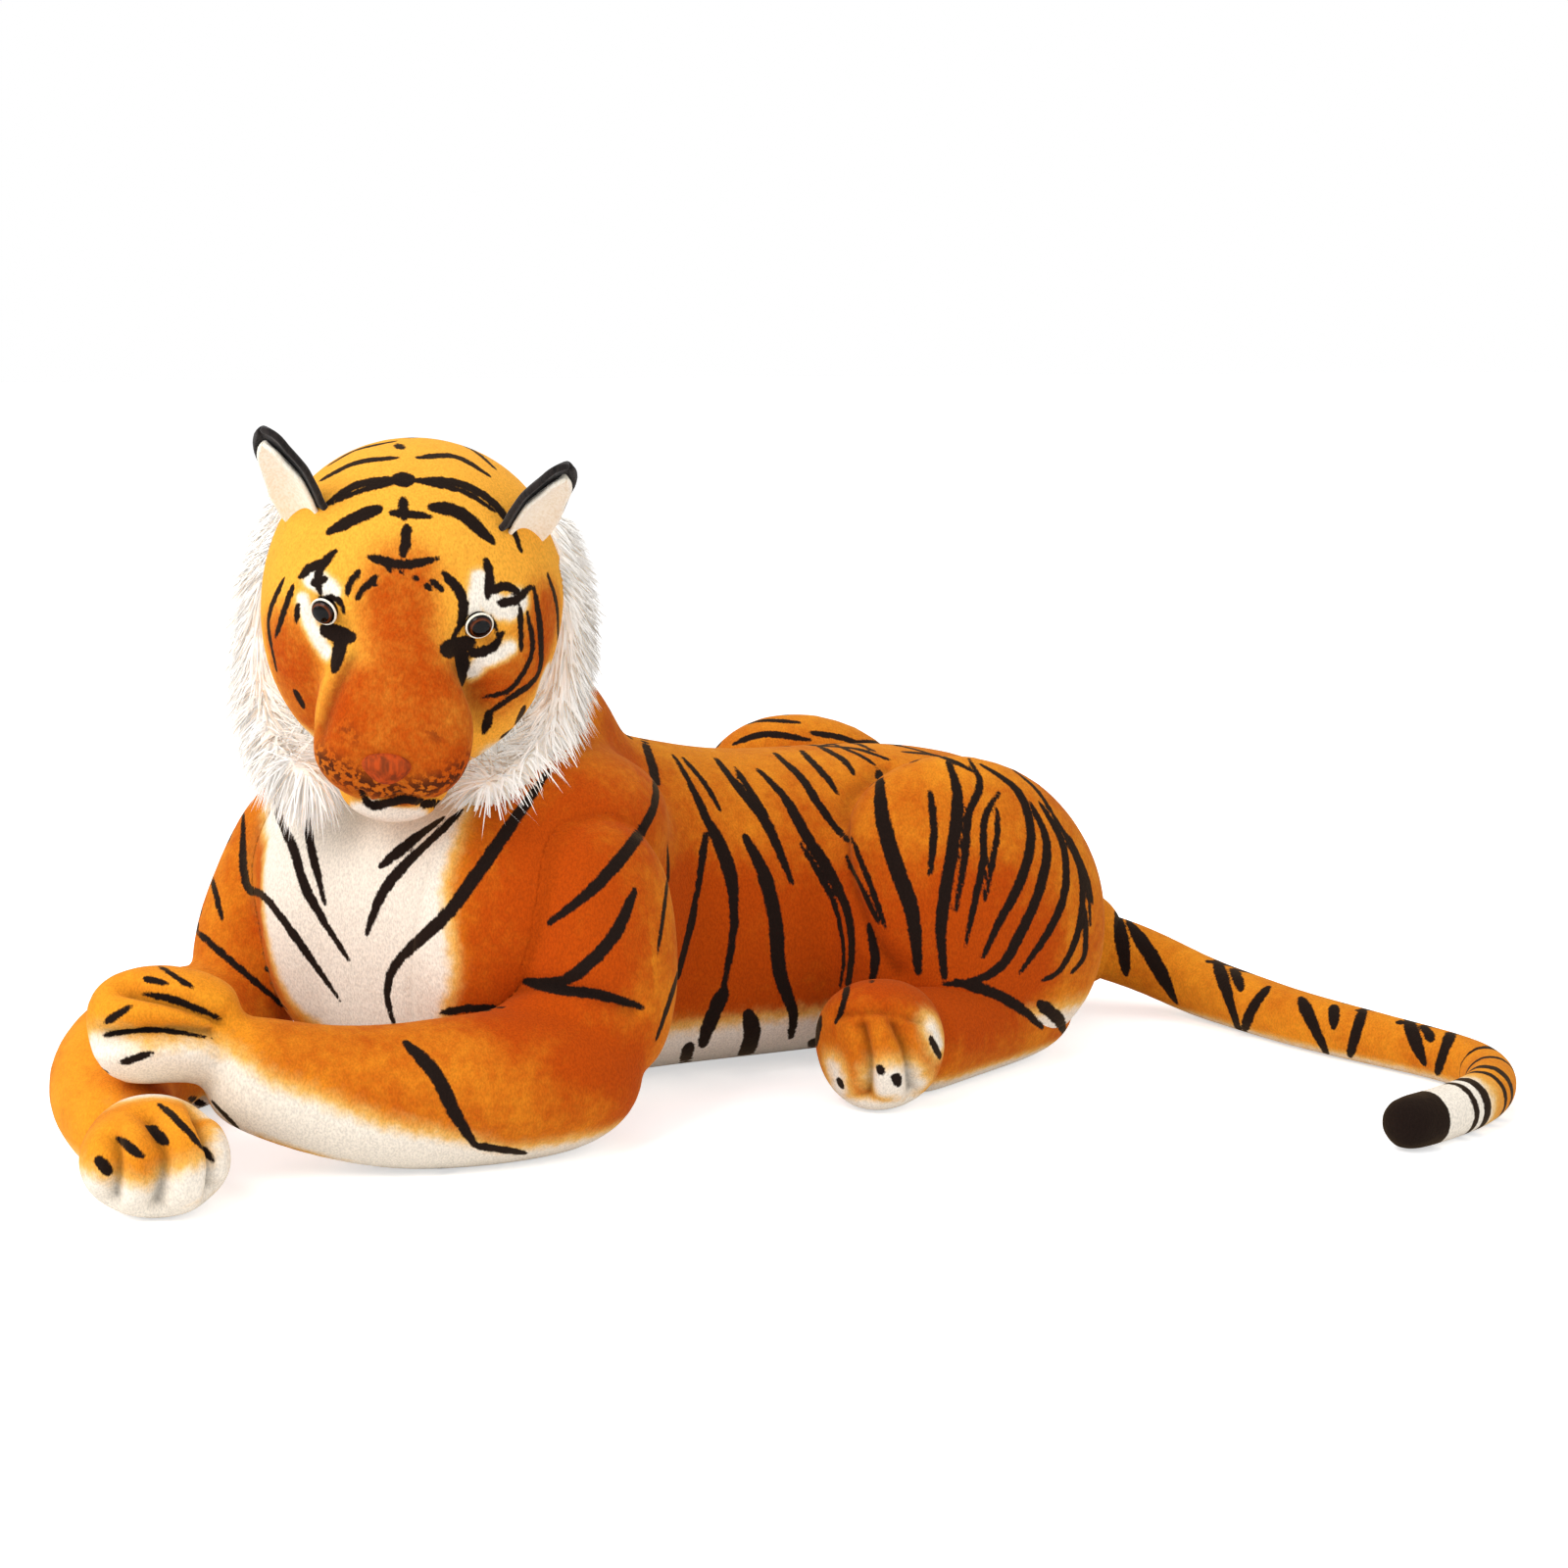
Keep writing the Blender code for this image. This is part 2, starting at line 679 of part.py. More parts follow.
def build_torso(shop, floor, carriers):
    """Torso skin with its bib and belly panels, and the filling inside."""
    cage = loft_mesh(
        "torso", torso_rings(), TORSO_SIDES, TORSO_CORNER_SHARE, TORSO_BELLY_SHARE
    )
    stand_on_floor(cage)
    front = front_frame()

    neck_room = rod_mesh(
        "neck_room",
        NECK_RADIUS + NECK_SIDE_GAP,
        Vector((0.0, 0.0, NECK_FOOT_HEIGHT - SEAM_GAP)),
        Vector((0.0, 0.0, NECK_TOP_HEIGHT + OVERRUN)),
        NECK_SEGMENTS,
    )
    neck_cutter = shop.cutter("neck_room", neck_room, front)
    pans = []
    deeper_pans = []
    for side, label in ((1.0, "left"), (-1.0, "right")):
        pan = shoulder_rod("pan_" + label, side, SHOULDER_PAN_RADIUS, 0.0)
        pans.append(shop.cutter("shoulder_pan_" + label, pan, front))
        depth = SKIN_THICKNESS + FILLING_SLACK
        deeper = shoulder_rod("deeper_" + label, side, SHOULDER_PAN_RADIUS + depth, depth)
        deeper_pans.append(shop.cutter("shoulder_deeper_" + label, deeper, front))
    room_radius = TAIL_BALL_RADIUS + SOFT_GAP
    tail_room = ball_mesh("tail_room", room_radius, tail_points()[0], TAIL_BALL_SEGMENTS)
    tail_cutter = shop.cutter("tail_room", tail_room)

    belly_low = box_mesh(
        "belly_side",
        (-BODY_HALF_WIDTH - OVERRUN, -CHEST_REACH - OVERRUN, -OVERRUN),
        (BODY_HALF_WIDTH + OVERRUN, RUMP_REACH + OVERRUN, BELLY_PANEL_HEIGHT),
    )
    belly_side = shop.cutter("belly_side", belly_low)
    belly_room = box_mesh(
        "belly_room",
        (-BODY_HALF_WIDTH - OVERRUN, -CHEST_REACH - OVERRUN, -OVERRUN),
        (BODY_HALF_WIDTH + OVERRUN, RUMP_REACH + OVERRUN, BELLY_PANEL_HEIGHT + SEAM_GAP),
    )
    belly_cut = shop.cutter("belly_room", belly_room)
    chest_front = CHEST_REACH - SPINE_BEND_LENGTH
    bib_box = box_mesh(
        "bib_side",
        (-BIB_HALF_WIDTH, -chest_front - OVERRUN, BELLY_PANEL_HEIGHT + SEAM_GAP),
        (BIB_HALF_WIDTH, -chest_front + BIB_DEPTH, BIB_TOP_HEIGHT),
    )
    bib_side = shop.cutter("bib_side", bib_box, front)
    bib_gap_box = box_mesh(
        "bib_room",
        (-BIB_HALF_WIDTH - SEAM_GAP, -chest_front - OVERRUN, BELLY_PANEL_HEIGHT),
        (
            BIB_HALF_WIDTH + SEAM_GAP,
            -chest_front + BIB_DEPTH + SEAM_GAP,
            BIB_TOP_HEIGHT + SEAM_GAP,
        ),
    )
    bib_room = shop.cutter("bib_room", bib_gap_box, front)

    panels = (
        ("torso_skin", "orange_plush", None, (belly_cut, bib_room)),
        ("belly_panel", "white_plush", belly_side, ()),
        ("chest_bib", "white_plush", bib_side, ()),
    )
    for name, material, region, rooms in panels:
        panel = shop.piece(name, cage.copy(), material, carriers["torso"])
        subdivide(panel)
        for pan in pans:
            combine(panel, pan)
        hollow(panel, SKIN_THICKNESS)
        combine(panel, neck_cutter)
        combine(panel, tail_cutter)
        combine(panel, floor)
        if region is not None:
            combine(panel, region, "INTERSECT")
        for room in rooms:
            combine(panel, room)

    filling = shop.piece("torso_filling", cage.copy(), "fibre_filling", carriers["torso"])
    subdivide(filling)
    swell(filling, -SKIN_THICKNESS - FILLING_SLACK)
    for pan in deeper_pans:
        combine(filling, pan)
    combine(filling, neck_cutter)
    combine(filling, tail_cutter)
    return cage


def shoulder_rod(name, side, radius, depth):
    """Rod on a shoulder's axis that runs outwards from a depth inside the shoulder plane."""
    plane = side * (SHOULDER_PLANE - depth)
    start = Vector((plane, -SHOULDER_AXIS_FORWARD, SHOULDER_AXIS_HEIGHT))
    end = start + Vector((side * (OVERRUN + depth), 0.0, 0.0))
    return rod_mesh(name, radius, start, end, SHOULDER_SEGMENTS)


def build_haunches(shop, floor, torso_room, carriers):
    """Thigh on each side of the rump, sewn to the torso."""
    cages = {}
    for mirror, label in ((1.0, "left"), (-1.0, "right")):
        stations = []
        for along, width, top, bottom in HAUNCH_STATION_SHARES:
            station = (
                HAUNCH_REACH + along * HAUNCH_HALF_LENGTH,
                width * HAUNCH_HALF_WIDTH,
                top * HAUNCH_HEIGHT,
                bottom * HAUNCH_HEIGHT,
            )
            stations.append(station)

        def placing(along, offset=mirror * HAUNCH_SPREAD):
            """Origin and side of the section at a distance along the body."""
            return Vector((offset, along, 0.0)), Vector((1.0, 0.0, 0.0))

        cage = loft_mesh("haunch_" + label, station_rings(stations, placing), LIMB_SIDES)
        stand_on_floor(cage)
        cages[label] = cage
        skin = shop.piece("haunch_skin_" + label, cage.copy(), "orange_plush", carriers["torso"])
        subdivide(skin)
        hollow(skin, SKIN_THICKNESS)
        combine(skin, torso_room)
        combine(skin, floor)
        filling = shop.piece("haunch_filling_" + label, cage, "fibre_filling", carriers["torso"])
        subdivide(filling)
        swell(filling, -SKIN_THICKNESS - FILLING_SLACK)
        combine(filling, torso_room)
    return cages


def build_hind_legs(shop, floor, haunch_cages, torso_room, carriers):
    """Lower hind leg and foot on each side, lying on the floor under the haunch."""
    up = Vector((0.0, 0.0, 1.0))
    for mirror, label in ((1.0, "left"), (-1.0, "right")):
        carrier = carriers["hind_leg_" + label]
        sizes = (SHANK_SPREAD, SHANK_REACH, SHANK_THICKNESS, SHANK_THICKNESS)
        haunch_rooms = []
        for step in range(HIND_SWING_STEPS + 1):
            turn = -mirror * HIND_SWING_RANGE * step / HIND_SWING_STEPS
            pivot = Matrix.Translation(carrier.location)
            spin = pivot @ Matrix.Rotation(turn, 4, "Z") @ pivot.inverted()
            room_name = "haunch_room_%s_%d" % (label, step)
            haunch_rooms.append(shop.grown(room_name, haunch_cages[label], SOFT_GAP, spin))
        shank_cage = limb_mesh("shank", SHANK_SHARES, *sizes, Matrix(), up, mirror)
        stand_on_floor(shank_cage)
        shank = shop.piece("hind_shank_" + label, shank_cage, "orange_plush", carrier)
        subdivide(shank)
        for haunch_room in haunch_rooms:
            combine(shank, haunch_room)
        combine(shank, torso_room)
        combine(shank, floor)
        foot_cage = limb_mesh("foot", HIND_FOOT_SHARES, *sizes, Matrix(), up, mirror)
        stand_on_floor(foot_cage)
        shank_room = shop.grown("shank_room_" + label, shank_cage, SOFT_GAP)
        foot = shop.piece("hind_foot_" + label, foot_cage, "orange_plush", carrier)
        subdivide(foot)
        for haunch_room in haunch_rooms:
            combine(foot, haunch_room)
        combine(foot, shank_room)
        combine(foot, floor)


def build_forelegs(shop, floor, torso_cage, carriers):
    """Upper arm, forearm and paw on each side, the left paw lying on the right one."""
    front = front_frame()
    sizes = (FORELEG_SPREAD, FORELEG_REACH)
    tall = (UPPER_ARM_HEIGHT, FORELEG_THICKNESS)
    low = (FORELEG_THICKNESS, FORELEG_THICKNESS)
    back = front.to_3x3() @ Vector((0.0, -1.0, 0.0))
    up = Vector((0.0, 0.0, 1.0))
    tables = (
        ("right", -1.0, RIGHT_UPPER_ARM_SHARES, RIGHT_FOREARM_SHARES, RIGHT_PAW_SHARES),
        ("left", 1.0, LEFT_UPPER_ARM_SHARES, LEFT_FOREARM_SHARES, LEFT_PAW_SHARES),
    )
    crossed = None
    for label, mirror, arm_shares, forearm_shares, paw_shares in tables:
        carrier = carriers["foreleg_" + label]
        clear = shop.grown("torso_clear_" + label, torso_cage, MOVING_GAP)
        seat = shoulder_rod("seat_" + label, mirror, SHOULDER_PAN_RADIUS - MOVING_GAP, 0.0)
        combine(clear, shop.cutter("shoulder_seat_" + label, seat, front))
        plane = mirror * (SHOULDER_PLANE + SEAM_GAP)
        inner = sorted((plane, plane - mirror * (OVERRUN + BODY_HALF_WIDTH)))
        inner_mesh = box_mesh(
            "inner_" + label,
            (inner[0], -CHEST_REACH, -OVERRUN),
            (inner[1], CHEST_REACH, BACK_HEIGHT + OVERRUN),
        )
        inner_side = shop.cutter("inner_side_" + label, inner_mesh, front)

        arm_cage = limb_mesh("upper_arm", arm_shares, *sizes, *tall, front, back)
        forearm_cage = limb_mesh("forearm", forearm_shares, *sizes, *low, front, up)
        stand_on_floor(forearm_cage)
        paw_cage = limb_mesh("paw", paw_shares, *sizes, *low, front, up)
        if label == "right":
            stand_on_floor(paw_cage)

        forearm_room = shop.grown("forearm_room_" + label, forearm_cage, SOFT_GAP)
        arm = shop.piece("upper_arm_" + label, arm_cage, "orange_plush", carrier)
        subdivide(arm)
        combine(arm, inner_side)
        combine(arm, clear)
        combine(arm, forearm_room)
        combine(arm, floor)

        forearm = shop.piece("forearm_" + label, forearm_cage, "orange_plush", carrier)
        subdivide(forearm)
        combine(forearm, clear)
        combine(forearm, floor)

        paw = shop.piece("forepaw_" + label, paw_cage, "orange_plush", carrier)
        subdivide(paw)
        combine(paw, forearm_room)
        combine(paw, floor)
        if crossed is None:
            crossed = (forearm_cage, paw_cage)
        else:
            for number, cage in enumerate(crossed):
                beneath = shop.grown("beneath_%d" % number, cage, MOVING_GAP)
                combine(forearm, beneath)
                combine(paw, beneath)


def build_neck(shop, carriers):
    """Turned neck pad between the torso and the head."""
    profile = (
        (0.0, NECK_TOP_HEIGHT),
        (NECK_TOP_RADIUS - NECK_EDGE, NECK_TOP_HEIGHT),
        (NECK_TOP_RADIUS, NECK_TOP_HEIGHT - NECK_EDGE),
        (NECK_RADIUS, NECK_FOOT_HEIGHT),
        (0.0, NECK_FOOT_HEIGHT),
    )
    neck = shop.piece(
        "neck", profile_mesh("neck", profile), "orange_plush", carriers["neck"], front_frame()
    )
    turned(neck, NECK_SEGMENTS)


def build_head(shop, torso_cage, carriers):
    """Head skin and filling, muzzle, nose, jaw, eyes, ears, ruff and whiskers."""
    frame = head_frame()
    stations = []
    for along, width, top, bottom in HEAD_STATION_SHARES:
        reach = HEAD_FRONT if along < 0.0 else HEAD_BACK
        station = (
            along * reach,
            width * HEAD_HALF_WIDTH,
            top * HEAD_HALF_HEIGHT,
            bottom * HEAD_HALF_HEIGHT,
        )
        stations.append(station)

    def placing(along):
        """Origin and side of the section at a distance behind the skull's middle."""
        return Vector((0.0, along, 0.0)), Vector((1.0, 0.0, 0.0))

    skull_cage = loft_mesh("skull", station_rings(stations, placing), HEAD_SIDES)
    neck_region = rod_mesh(
        "head_foot",
        NECK_RADIUS + OVERRUN,
        Vector((0.0, 0.0, NECK_FOOT_HEIGHT - OVERRUN)),
        Vector((0.0, 0.0, NECK_TOP_HEIGHT + SEAM_GAP)),
        NECK_SEGMENTS,
    )
    neck_room = shop.cutter("head_foot", neck_region, front_frame())
    skull_room = shop.grown("skull_room", skull_cage, SOFT_GAP, frame)
    carrier = carriers["head"]

    head_skin = shop.piece("head_skin", skull_cage, "orange_plush", carrier, frame)
    subdivide(head_skin)
    hollow(head_skin, SKIN_THICKNESS)
    combine(head_skin, neck_room)
    head_filling = shop.piece("head_filling", skull_cage.copy(), "fibre_filling", carrier, frame)
    subdivide(head_filling)
    swell(head_filling, -SKIN_THICKNESS - FILLING_SLACK)
    combine(head_filling, neck_room)

    stations = []
    for along, width, top, bottom in MUZZLE_STATION_SHARES:
        station = (
            -along * MUZZLE_REACH,
            width * MUZZLE_HALF_WIDTH,
            top * MUZZLE_HEIGHT,
            bottom * MUZZLE_HEIGHT,
        )
        stations.append(station)
    muzzle_cage = loft_mesh("muzzle", station_rings(stations, placing), MUZZLE_SIDES)
    muzzle = shop.piece("muzzle", muzzle_cage, "muzzle_plush", carrier, frame)
    subdivide(muzzle)
    combine(muzzle, skull_room)
    muzzle_room = shop.grown("muzzle_room", muzzle_cage, SOFT_GAP, frame)

    nose_halves = (NOSE_HALF_WIDTH, NOSE_THICKNESS, NOSE_HALF_HEIGHT)
    nose_cage = egg_mesh("nose", nose_halves, Vector((0.0, -MUZZLE_REACH, -NOSE_DROP)))
    nose = shop.piece("nose_pad", nose_cage, "nose_plush", carrier, frame)
    subdivide(nose)
    combine(nose, muzzle_room)

    jaw_halves = (JAW_HALF_WIDTH, JAW_HALF_LENGTH, JAW_HALF_HEIGHT)
    jaw_place = Vector((0.0, -MUZZLE_REACH + JAW_SETBACK, -JAW_DROP))
    jaw_cage = egg_mesh("lower_jaw", jaw_halves, jaw_place)
    jaw = shop.piece("lower_jaw", jaw_cage, "white_plush", carrier, frame)
    subdivide(jaw)
    combine(jaw, muzzle_room)
    combine(jaw, skull_room)
    build_eyes(shop, frame, carrier, head_skin, head_filling, skull_cage)
    build_ears(shop, frame, carriers, head_skin, head_filling)
    build_ruff(shop, frame, carrier, skull_room, turning_rooms(shop, torso_cage))
    build_whiskers(shop, frame, carrier, muzzle_room)


def turning_rooms(shop, torso_cage):
    """Room that the torso and neck take as seen from a head that turns either way."""
    front = front_frame()
    rooms = []
    for step in range(HEAD_TURN_STEPS):
        share = 2.0 * step / (HEAD_TURN_STEPS - 1) - 1.0
        spin = front @ Matrix.Rotation(share * HEAD_TURN_RANGE, 4, "Z") @ front.inverted()
        rooms.append(shop.grown("torso_turned_%d" % step, torso_cage, MOVING_GAP, spin))
    pad_room = rod_mesh(
        "pad_room",
        NECK_RADIUS + MOVING_GAP,
        Vector((0.0, 0.0, NECK_FOOT_HEIGHT - OVERRUN)),
        Vector((0.0, 0.0, NECK_TOP_HEIGHT + SEAM_GAP)),
        NECK_SEGMENTS,
    )
    rooms.append(shop.cutter("pad_room", pad_room, front))
    return rooms


def surface_place(cage, start, direction):
    """Point where a ray from inside a rounded cage meets its surface."""
    probe = bpy.data.objects.new("probe", cage)
    bpy.context.scene.collection.objects.link(probe)
    subdivide(probe)
    bpy.context.view_layer.update()
    evaluated = probe.evaluated_get(bpy.context.evaluated_depsgraph_get())
    found, place, normal, _ = evaluated.ray_cast(start, direction)
    bpy.data.objects.remove(probe, do_unlink=True)
    return place, normal


def build_eyes(shop, frame, carrier, head_skin, head_filling, skull_cage):
    """Domed eyes with stems through the skin and washers behind it."""
    dome = tuple((out * EYE_RADIUS, up * EYE_BULGE) for out, up in EYE_DOME_SHARES)
    profile = dome + (
        (EYE_RADIUS, -EYE_FLANGE),
        (EYE_STEM_RADIUS, -EYE_FLANGE),
        (EYE_STEM_RADIUS, -EYE_STEM_LENGTH),
        (0.0, -EYE_STEM_LENGTH),
    )
    for side, label in ((1.0, "left"), (-1.0, "right")):
        axis = Vector((side * math.sin(EYE_OUTWARD_TURN), -math.cos(EYE_OUTWARD_TURN), 0.0))
        inside = Vector((side * EYE_SPREAD, 0.0, EYE_HEIGHT))
        place, _ = surface_place(skull_cage, inside, Vector((0.0, -1.0, 0.0)))
        seat = place + axis * (EYE_FLANGE + SEAM_GAP - EYE_SINK)
        turn = axis.to_track_quat("Z", "Y").to_matrix().to_4x4()
        eye_frame = frame @ Matrix.Translation(seat) @ turn
        eye = shop.piece(
            "eye_" + label, profile_mesh("eye", profile), "eye_plastic", carrier, eye_frame
        )
        turned(eye, EYE_SEGMENTS)

        washer_top = -EYE_FLANGE - SKIN_THICKNESS - WASHER_SLACK
        washer_low = washer_top - WASHER_THICKNESS
        hole = EYE_STEM_RADIUS + SEAM_GAP
        ring = (
            (hole, washer_top),
            (WASHER_RADIUS, washer_top),
            (WASHER_RADIUS, washer_low),
            (hole, washer_low),
            (hole, washer_top),
        )
        washer = shop.piece(
            "eye_washer_" + label, profile_mesh("washer", ring), "washer_plastic", carrier, eye_frame
        )
        turned(washer, EYE_SEGMENTS)

        seat_mesh = rod_mesh(
            "eye_seat",
            EYE_RADIUS + SEAM_GAP,
            Vector((0.0, 0.0, -EYE_FLANGE - SEAM_GAP)),
            Vector((0.0, 0.0, EYE_RADIUS)),
            EYE_SEGMENTS,
        )
        combine(head_skin, shop.cutter("eye_seat_" + label, seat_mesh, eye_frame))
        stem_mesh = rod_mesh(
            "stem_hole",
            hole,
            Vector((0.0, 0.0, -EYE_STEM_LENGTH - SEAM_GAP)),
            Vector((0.0, 0.0, EYE_RADIUS)),
            EYE_SEGMENTS,
        )
        combine(head_skin, shop.cutter("stem_hole_" + label, stem_mesh, eye_frame))
        pocket_mesh = rod_mesh(
            "washer_pocket",
            WASHER_RADIUS + SEAM_GAP,
            Vector((0.0, 0.0, -EYE_STEM_LENGTH - SEAM_GAP)),
            Vector((0.0, 0.0, EYE_RADIUS)),
            EYE_SEGMENTS,
        )
        combine(head_filling, shop.cutter("washer_pocket_" + label, pocket_mesh, eye_frame))


def ear_frame(side):
    """Frame of an ear: origin on its folding line, X along that line and Z to its tip."""
    place = Matrix.Translation((side * EAR_SPREAD, -EAR_FORWARD, EAR_BASE_HEIGHT))
    lean = Matrix.Rotation(side * EAR_OUTWARD_LEAN, 4, "Y")
    opening = Matrix.Rotation(side * EAR_OPENING_TURN, 4, "Z")
    return head_frame() @ place @ lean @ opening


def ear_sheet(name, side, inset, first_row):
    """Cupped leaf of an ear from one of its rows up, drawn in by an inset at its edge."""
    build = bmesh.new()
    rows = []
    last = len(EAR_WIDTH_SHARES) - 1
    for row in range(first_row, last + 1):
        share = EAR_WIDTH_SHARES[row]
        tall = row / last
        up = EAR_LEAF_FOOT + (EAR_HEIGHT - EAR_LEAF_FOOT) * tall - inset * tall * tall
        corners = []
        for column in range(EAR_COLUMNS + 1):
            across = (2.0 * column / EAR_COLUMNS - 1.0) * (1.0 - inset / EAR_HALF_WIDTH)
            cup = EAR_CUP * (1.0 - across * across) * math.sin(math.pi * row / (last + 1.0))
            shift = -side * EAR_SKEW_SHARE * up
            corners.append(build.verts.new((across * share * EAR_HALF_WIDTH + shift, cup, up)))
        rows.append(corners)
    for lower, upper in zip(rows, rows[1:]):
        for column in range(EAR_COLUMNS):
            corners = (lower[column], lower[column + 1], upper[column + 1], upper[column])
            build.faces.new(corners)
    mesh = bpy.data.meshes.new(name)
    build.to_mesh(mesh)
    build.free()
    return mesh


def build_ears(shop, frame, carriers, head_skin, head_filling):
    """Cupped ears, each a back with a rounded root and a lining in front of it."""
    for side, label in ((1.0, "left"), (-1.0, "right")):
        local = ear_frame(side)
        carrier = carriers["ear_" + label]
        half = EAR_HALF_WIDTH * EAR_WIDTH_SHARES[0]
        reach = Vector((half, 0.0, 0.0))
        root = rod_mesh("ear_root", EAR_ROOT_RADIUS, -reach, reach, EAR_ROOT_SEGMENTS)
        back = shop.piece("ear_back_" + label, root, "black_plush", carrier, local)
        blade = shop.cutter("ear_blade_" + label, ear_sheet("ear_blade", side, 0.0, 0), local)
        layer = blade.modifiers.new("layer", "SOLIDIFY")
        layer.thickness = EAR_LAYER
        layer.offset = 0.0
        combine(back, blade, "UNION")
        lining = shop.piece(
            "ear_lining_" + label,
            ear_sheet("ear_lining", side, EAR_LAYER, 1),
            "white_plush",
            carrier,
            local @ Matrix.Translation((0.0, -EAR_LAYER - EAR_LINING_GAP, 0.0)),
        )
        facing = lining.modifiers.new("layer", "SOLIDIFY")
        facing.thickness = EAR_LAYER
        facing.offset = 0.0
        room = EAR_ROOT_RADIUS + SEAM_GAP
        ends = Vector((half + SEAM_GAP, 0.0, 0.0))
        groove_mesh = rod_mesh("groove", room, -ends, ends, EAR_ROOT_SEGMENTS)
        groove = shop.cutter("ear_groove_" + label, groove_mesh, local)
        combine(head_skin, groove)
        combine(head_filling, groove)


def build_ruff(shop, frame, carrier, skull_room, rooms):
    """Collar of long pile on each cheek, from behind the ear to the throat."""
    for side, label in ((1.0, "left"), (-1.0, "right")):
        points = []
        halves = []
        for across, back, up, girth in RUFF_PATH_SHARES:
            place = (side * across * HEAD_HALF_WIDTH, back * HEAD_BACK, up * HEAD_HALF_HEIGHT)
            points.append(Vector(place))
            halves.append((girth * RUFF_HALF_DEPTH, girth * RUFF_HALF_WIDTH))
        outward = Vector((side, 0.0, -1.0)).normalized()
        cage = loft_mesh("ruff", tube_rings(points, halves, outward), RUFF_SIDES)
        ruff = shop.piece("ruff_" + label, cage, "long_white_pile", carrier, frame)
        subdivide(ruff)
        combine(ruff, skull_room)
        for room in rooms:
            combine(ruff, room)


def build_whiskers(shop, frame, carrier, muzzle_room):
    """A small pad of backing with its strands on each side of the muzzle."""
    for side, label in ((1.0, "left"), (-1.0, "right")):
        place = Vector(
            (
                side * WHISKER_PAD_SPREAD_SHARE * MUZZLE_HALF_WIDTH,
                -WHISKER_PAD_FORWARD_SHARE * MUZZLE_REACH,
                -WHISKER_PAD_DROP_SHARE * MUZZLE_HEIGHT,
            )
        )
        inner = place - Vector((side * WHISKER_PAD_ROOT, 0.0, 0.0))
        outer = place + Vector((side * WHISKER_PAD_THICKNESS, 0.0, 0.0))
        pad = rod_mesh("whisker_pad", WHISKER_PAD_RADIUS, inner, outer, WHISKER_PAD_SEGMENTS)
        whiskers = shop.piece("whiskers_" + label, pad, "whisker_fibre", carrier, frame)
        combine(whiskers, muzzle_room)
        for number in range(WHISKER_COUNT):
            turn = (number - (WHISKER_COUNT - 1) / 2.0) * WHISKER_FAN
            heading = Vector((side * math.cos(turn), -WHISKER_FORWARD_SHARE, math.sin(turn)))
            heading.normalize()
            rise = WHISKER_PAD_RADIUS * math.sin(turn)
            root = place + Vector((-side * WHISKER_PAD_THICKNESS, 0.0, rise))
            points = []
            halves = []
            for step in range(WHISKER_STEPS + 1):
                share = step / WHISKER_STEPS
                sag = -WHISKER_DROOP_SHARE * WHISKER_LENGTH * share * share
                points.append(root + heading * WHISKER_LENGTH * share + Vector((0.0, 0.0, sag)))
                girth = WHISKER_RADIUS * (1.0 - share * WHISKER_TAPER_SHARE)
                halves.append((girth, girth))
            rings = tube_rings(points, halves, Vector((0.0, 1.0, 0.0)))
            strand = loft_mesh("strand", rings, WHISKER_SIDES)
            strand_tool = shop.cutter("strand_%s_%d" % (label, number), strand, frame)
            combine(strand_tool, muzzle_room)
            combine(whiskers, strand_tool, "UNION")


def build_tail(shop, floor, carriers):
    """Ball at the rump, tail, curled end and black tip."""
    points = tail_points()
    last = len(points) - 1
    halves = [(tail_radius(index / last),) * 2 for index in range(len(points))]
    up = Vector((0.0, 0.0, 1.0))
    rings = tube_rings(points, halves, up)
    ball = ball_mesh("tail_root", TAIL_BALL_RADIUS, points[0], TAIL_BALL_SEGMENTS)
    shop.piece("tail_root", ball, "orange_plush", carriers["tail_root"])
    room_radius = TAIL_BALL_RADIUS + SOFT_GAP
    room_mesh = ball_mesh("ball_room", room_radius, points[0], TAIL_BALL_SEGMENTS)
    ball_room = shop.cutter("tail_ball_room", room_mesh)
    bend = points[TAIL_BEND_STEPS]
    low = bend - Vector((0.0, 0.0, OVERRUN))
    high = bend + Vector((0.0, 0.0, OVERRUN))
    knuckle_mesh = rod_mesh("knuckle", TAIL_BEND_RADIUS, low, high, TAIL_BEND_SEGMENTS)
    knuckle = shop.cutter("tail_knuckle", knuckle_mesh)
    room_radius = TAIL_BEND_RADIUS + SEAM_GAP
    knuckle_room_mesh = rod_mesh("knuckle_room", room_radius, low, high, TAIL_BEND_SEGMENTS)
    knuckle_room = shop.cutter("tail_knuckle_room", knuckle_room_mesh)
    curl_side = shop.cutter("curl_side", beyond_mesh("curl_side", bend, Vector((1.0, 0.0, 0.0))))
    combine(curl_side, knuckle)
    tip_start = points[TAIL_TIP_STEPS]
    heading = (points[TAIL_TIP_STEPS + 1] - points[TAIL_TIP_STEPS - 1]).normalized()
    tip_side = shop.cutter("tip_side", beyond_mesh("tip_side", tip_start, heading))
    tip_room_start = tip_start - heading * SEAM_GAP
    tip_room = shop.cutter("tip_room", beyond_mesh("tip_room", tip_room_start, heading))

    pieces = (
        ("tail_upper", "orange_plush", "tail", "DIFFERENCE", curl_side, ball_room),
        ("tail_curl", "orange_plush", "tail_curl", "INTERSECT", curl_side, knuckle_room),
        ("tail_tip", "black_plush", "tail_curl", "INTERSECT", tip_side, None),
    )
    for name, material, carrier, how, side, room in pieces:
        tail = shop.piece(name, loft_mesh(name, rings, TAIL_SIDES), material, carriers[carrier])
        subdivide(tail)
        combine(tail, floor)
        combine(tail, side, how)
        if room is not None:
            combine(tail, room)
        if name == "tail_curl":
            combine(tail, tip_room)


